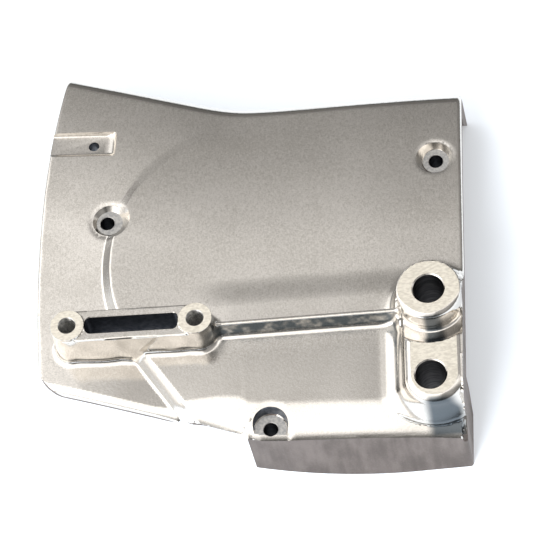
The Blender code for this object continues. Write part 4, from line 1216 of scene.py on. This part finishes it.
studio = {
    "floorReach": 30000.0,
    "floorBelow": 0.05,
    "floorColour": (0.55, 0.60, 0.66, 1.0),
    "floorGlow": 0.40,
    "white": (1.0, 1.0, 1.0, 1.0),
    # the room's brightness from the lower side, over the top and down to the upper side
    "room": [(0.00, 0.10), (0.04, 0.16), (0.10, 0.80), (0.25, 1.00), (0.64, 1.00), (0.685, 0.60),
             (0.71, 0.49), (0.775, 0.31), (0.85, 0.20), (1.00, 0.14)],
    "roomGain": 2.0,  # because a ramp's own values stop at 1
    "across": [(0.00, 0.80), (0.33, 0.98), (0.39, 0.92), (0.44, 0.69), (0.525, 0.48), (0.62, 0.56),
               (0.75, 0.60), (1.00, 0.48)],
    "acrossGain": 1.25,
    "acrossY": (0.10, 0.35),
    "panel": {"x": (-0.46, -0.60), "y": (0.80, 0.60), "z": (0.16, 0.30), "strength": 1.2},
    "roomTint": (1.0, 0.985, 0.97, 1.0),
    "lobe": {"x": -0.42, "y": -0.60, "reach": 0.16, "strength": 0.55},
    "screen": {"x": (-0.02, 0.16), "y": (-0.25, 0.20), "kept": 0.27},
    "farSide": {"x": (0.5, 0.95), "kept": 0.6},
    "horizon": {"z": (0.0, 0.25), "kept": 0.5},
    "lamps": {
        "softbox": {"place": (-0.30, -0.80, 0.72), "size": (0.50, 0.50), "power": 19.0},
    },
}


def makeFloor():
    s = studio
    reach, low = s["floorReach"], -s["floorBelow"]
    corners = [(-reach, -reach, low), (reach, -reach, low), (reach, reach, low), (-reach, reach, low)]
    floor = newPiece("floor", corners, [(0, 1, 2, 3)])
    f = Finish("floor_paper")
    path = f.add("ShaderNodeLightPath")
    seen = path["Is Camera Ray"]
    for ray in ("Is Glossy Ray", "Is Transmission Ray"):
        seen = f.add("ShaderNodeMath", {"operation": "MAXIMUM"}, {0: seen, 1: path[ray]})[0]
    paper = f.add("ShaderNodeBsdfDiffuse", None, {"Color": s["floorColour"]})[0]
    glow = f.add("ShaderNodeEmission", None, {"Color": s["white"], "Strength": seen * s["floorGlow"]})[0]
    both = f.add("ShaderNodeAddShader", None, {0: paper, 1: glow})[0]
    f.add("ShaderNodeOutputMaterial", None, {"Surface": both})
    floor.data.materials.append(f.material)
    floor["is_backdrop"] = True


def makeRoom():  # soft light that changes with its direction
    s = studio
    world = bpy.data.worlds.new("studio")
    world.use_nodes = True
    bpy.context.scene.world = world
    r = Finish("room")
    bpy.data.materials.remove(r.material)
    r.tree = world.node_tree
    r.tree.nodes.clear()
    parts = r.add("ShaderNodeSeparateXYZ", None, {0: r.add("ShaderNodeTexCoord")["Generated"]})
    x, y, z = parts[0], parts[1], parts[2]
    level = r.add("ShaderNodeValToRGB", {"stops": s["room"]}, {"Fac": 0.5 * y + 0.5})[0]
    lobe, screen = s["lobe"], s["screen"]
    aside, ahead = x - lobe["x"], y - lobe["y"]
    bright = r.between(aside * aside + ahead * ahead, 0.0, lobe["reach"], lobe["strength"], 0.0)
    dark = r.between(x, *screen["x"]) * r.between(y, *screen["y"], 1.0, 0.0)
    panel = s["panel"]
    left = r.between(x, *panel["x"]) * r.between(y, *panel["y"]) * r.between(z, *panel["z"])
    bright = bright + panel["strength"] * left
    acrossLevel = r.add("ShaderNodeValToRGB", {"stops": s["across"]}, {"Fac": 0.5 * x + 0.5})[0]
    acrossLevel = r.between(y, *s["acrossY"]) * (s["acrossGain"] * acrossLevel - 1.0) + 1.0
    strength = s["roomGain"] * (1.0 - (1.0 - screen["kept"]) * dark) * acrossLevel
    strength = strength * r.between(x, *s["farSide"]["x"], 1.0, s["farSide"]["kept"])
    strength = strength * r.between(z, *s["horizon"]["z"], s["horizon"]["kept"], 1.0)
    tinting = {"data_type": "RGBA", "blend_type": "MULTIPLY"}
    tinted = r.add("ShaderNodeMix", tinting, {0: 1.0, 6: level, 7: s["roomTint"]})[2]
    plain = r.add("ShaderNodeBackground", None, {"Color": tinted, "Strength": strength})[0]
    lit = r.add("ShaderNodeBackground", None, {"Color": s["white"], "Strength": bright})[0]
    both = r.add("ShaderNodeAddShader", None, {0: plain, 1: lit})[0]
    r.add("ShaderNodeOutputWorld", None, {"Surface": both})


def makeLamps():
    for name, lamp in studio["lamps"].items():
        light = bpy.data.lights.new(name, "AREA")
        light.shape = "RECTANGLE"
        light.size, light.size_y = lamp["size"]
        light.energy = lamp["power"]
        holder = bpy.data.objects.new(name, light)
        holder.location = lamp["place"]
        toCover = Vector((0.0, 0.0, 0.03)) - Vector(lamp["place"])
        holder.rotation_euler = toCover.to_track_quat("-Z", "Y").to_euler()
        holder.visible_glossy = False  # polished metal shows the room, not the lamp's small square
        bpy.context.scene.collection.objects.link(holder)


makeCamera()
print("camera set")
makeCover()
print("cover made")
makeFloor()
makeRoom()
makeLamps()
print("studio made")
bpy.context.scene.view_settings.view_transform = "Standard"
sizes = {"cad": [list(map(float, corner)) for corner in cadBox],
         "visual": [list(map(float, corner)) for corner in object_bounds()]}
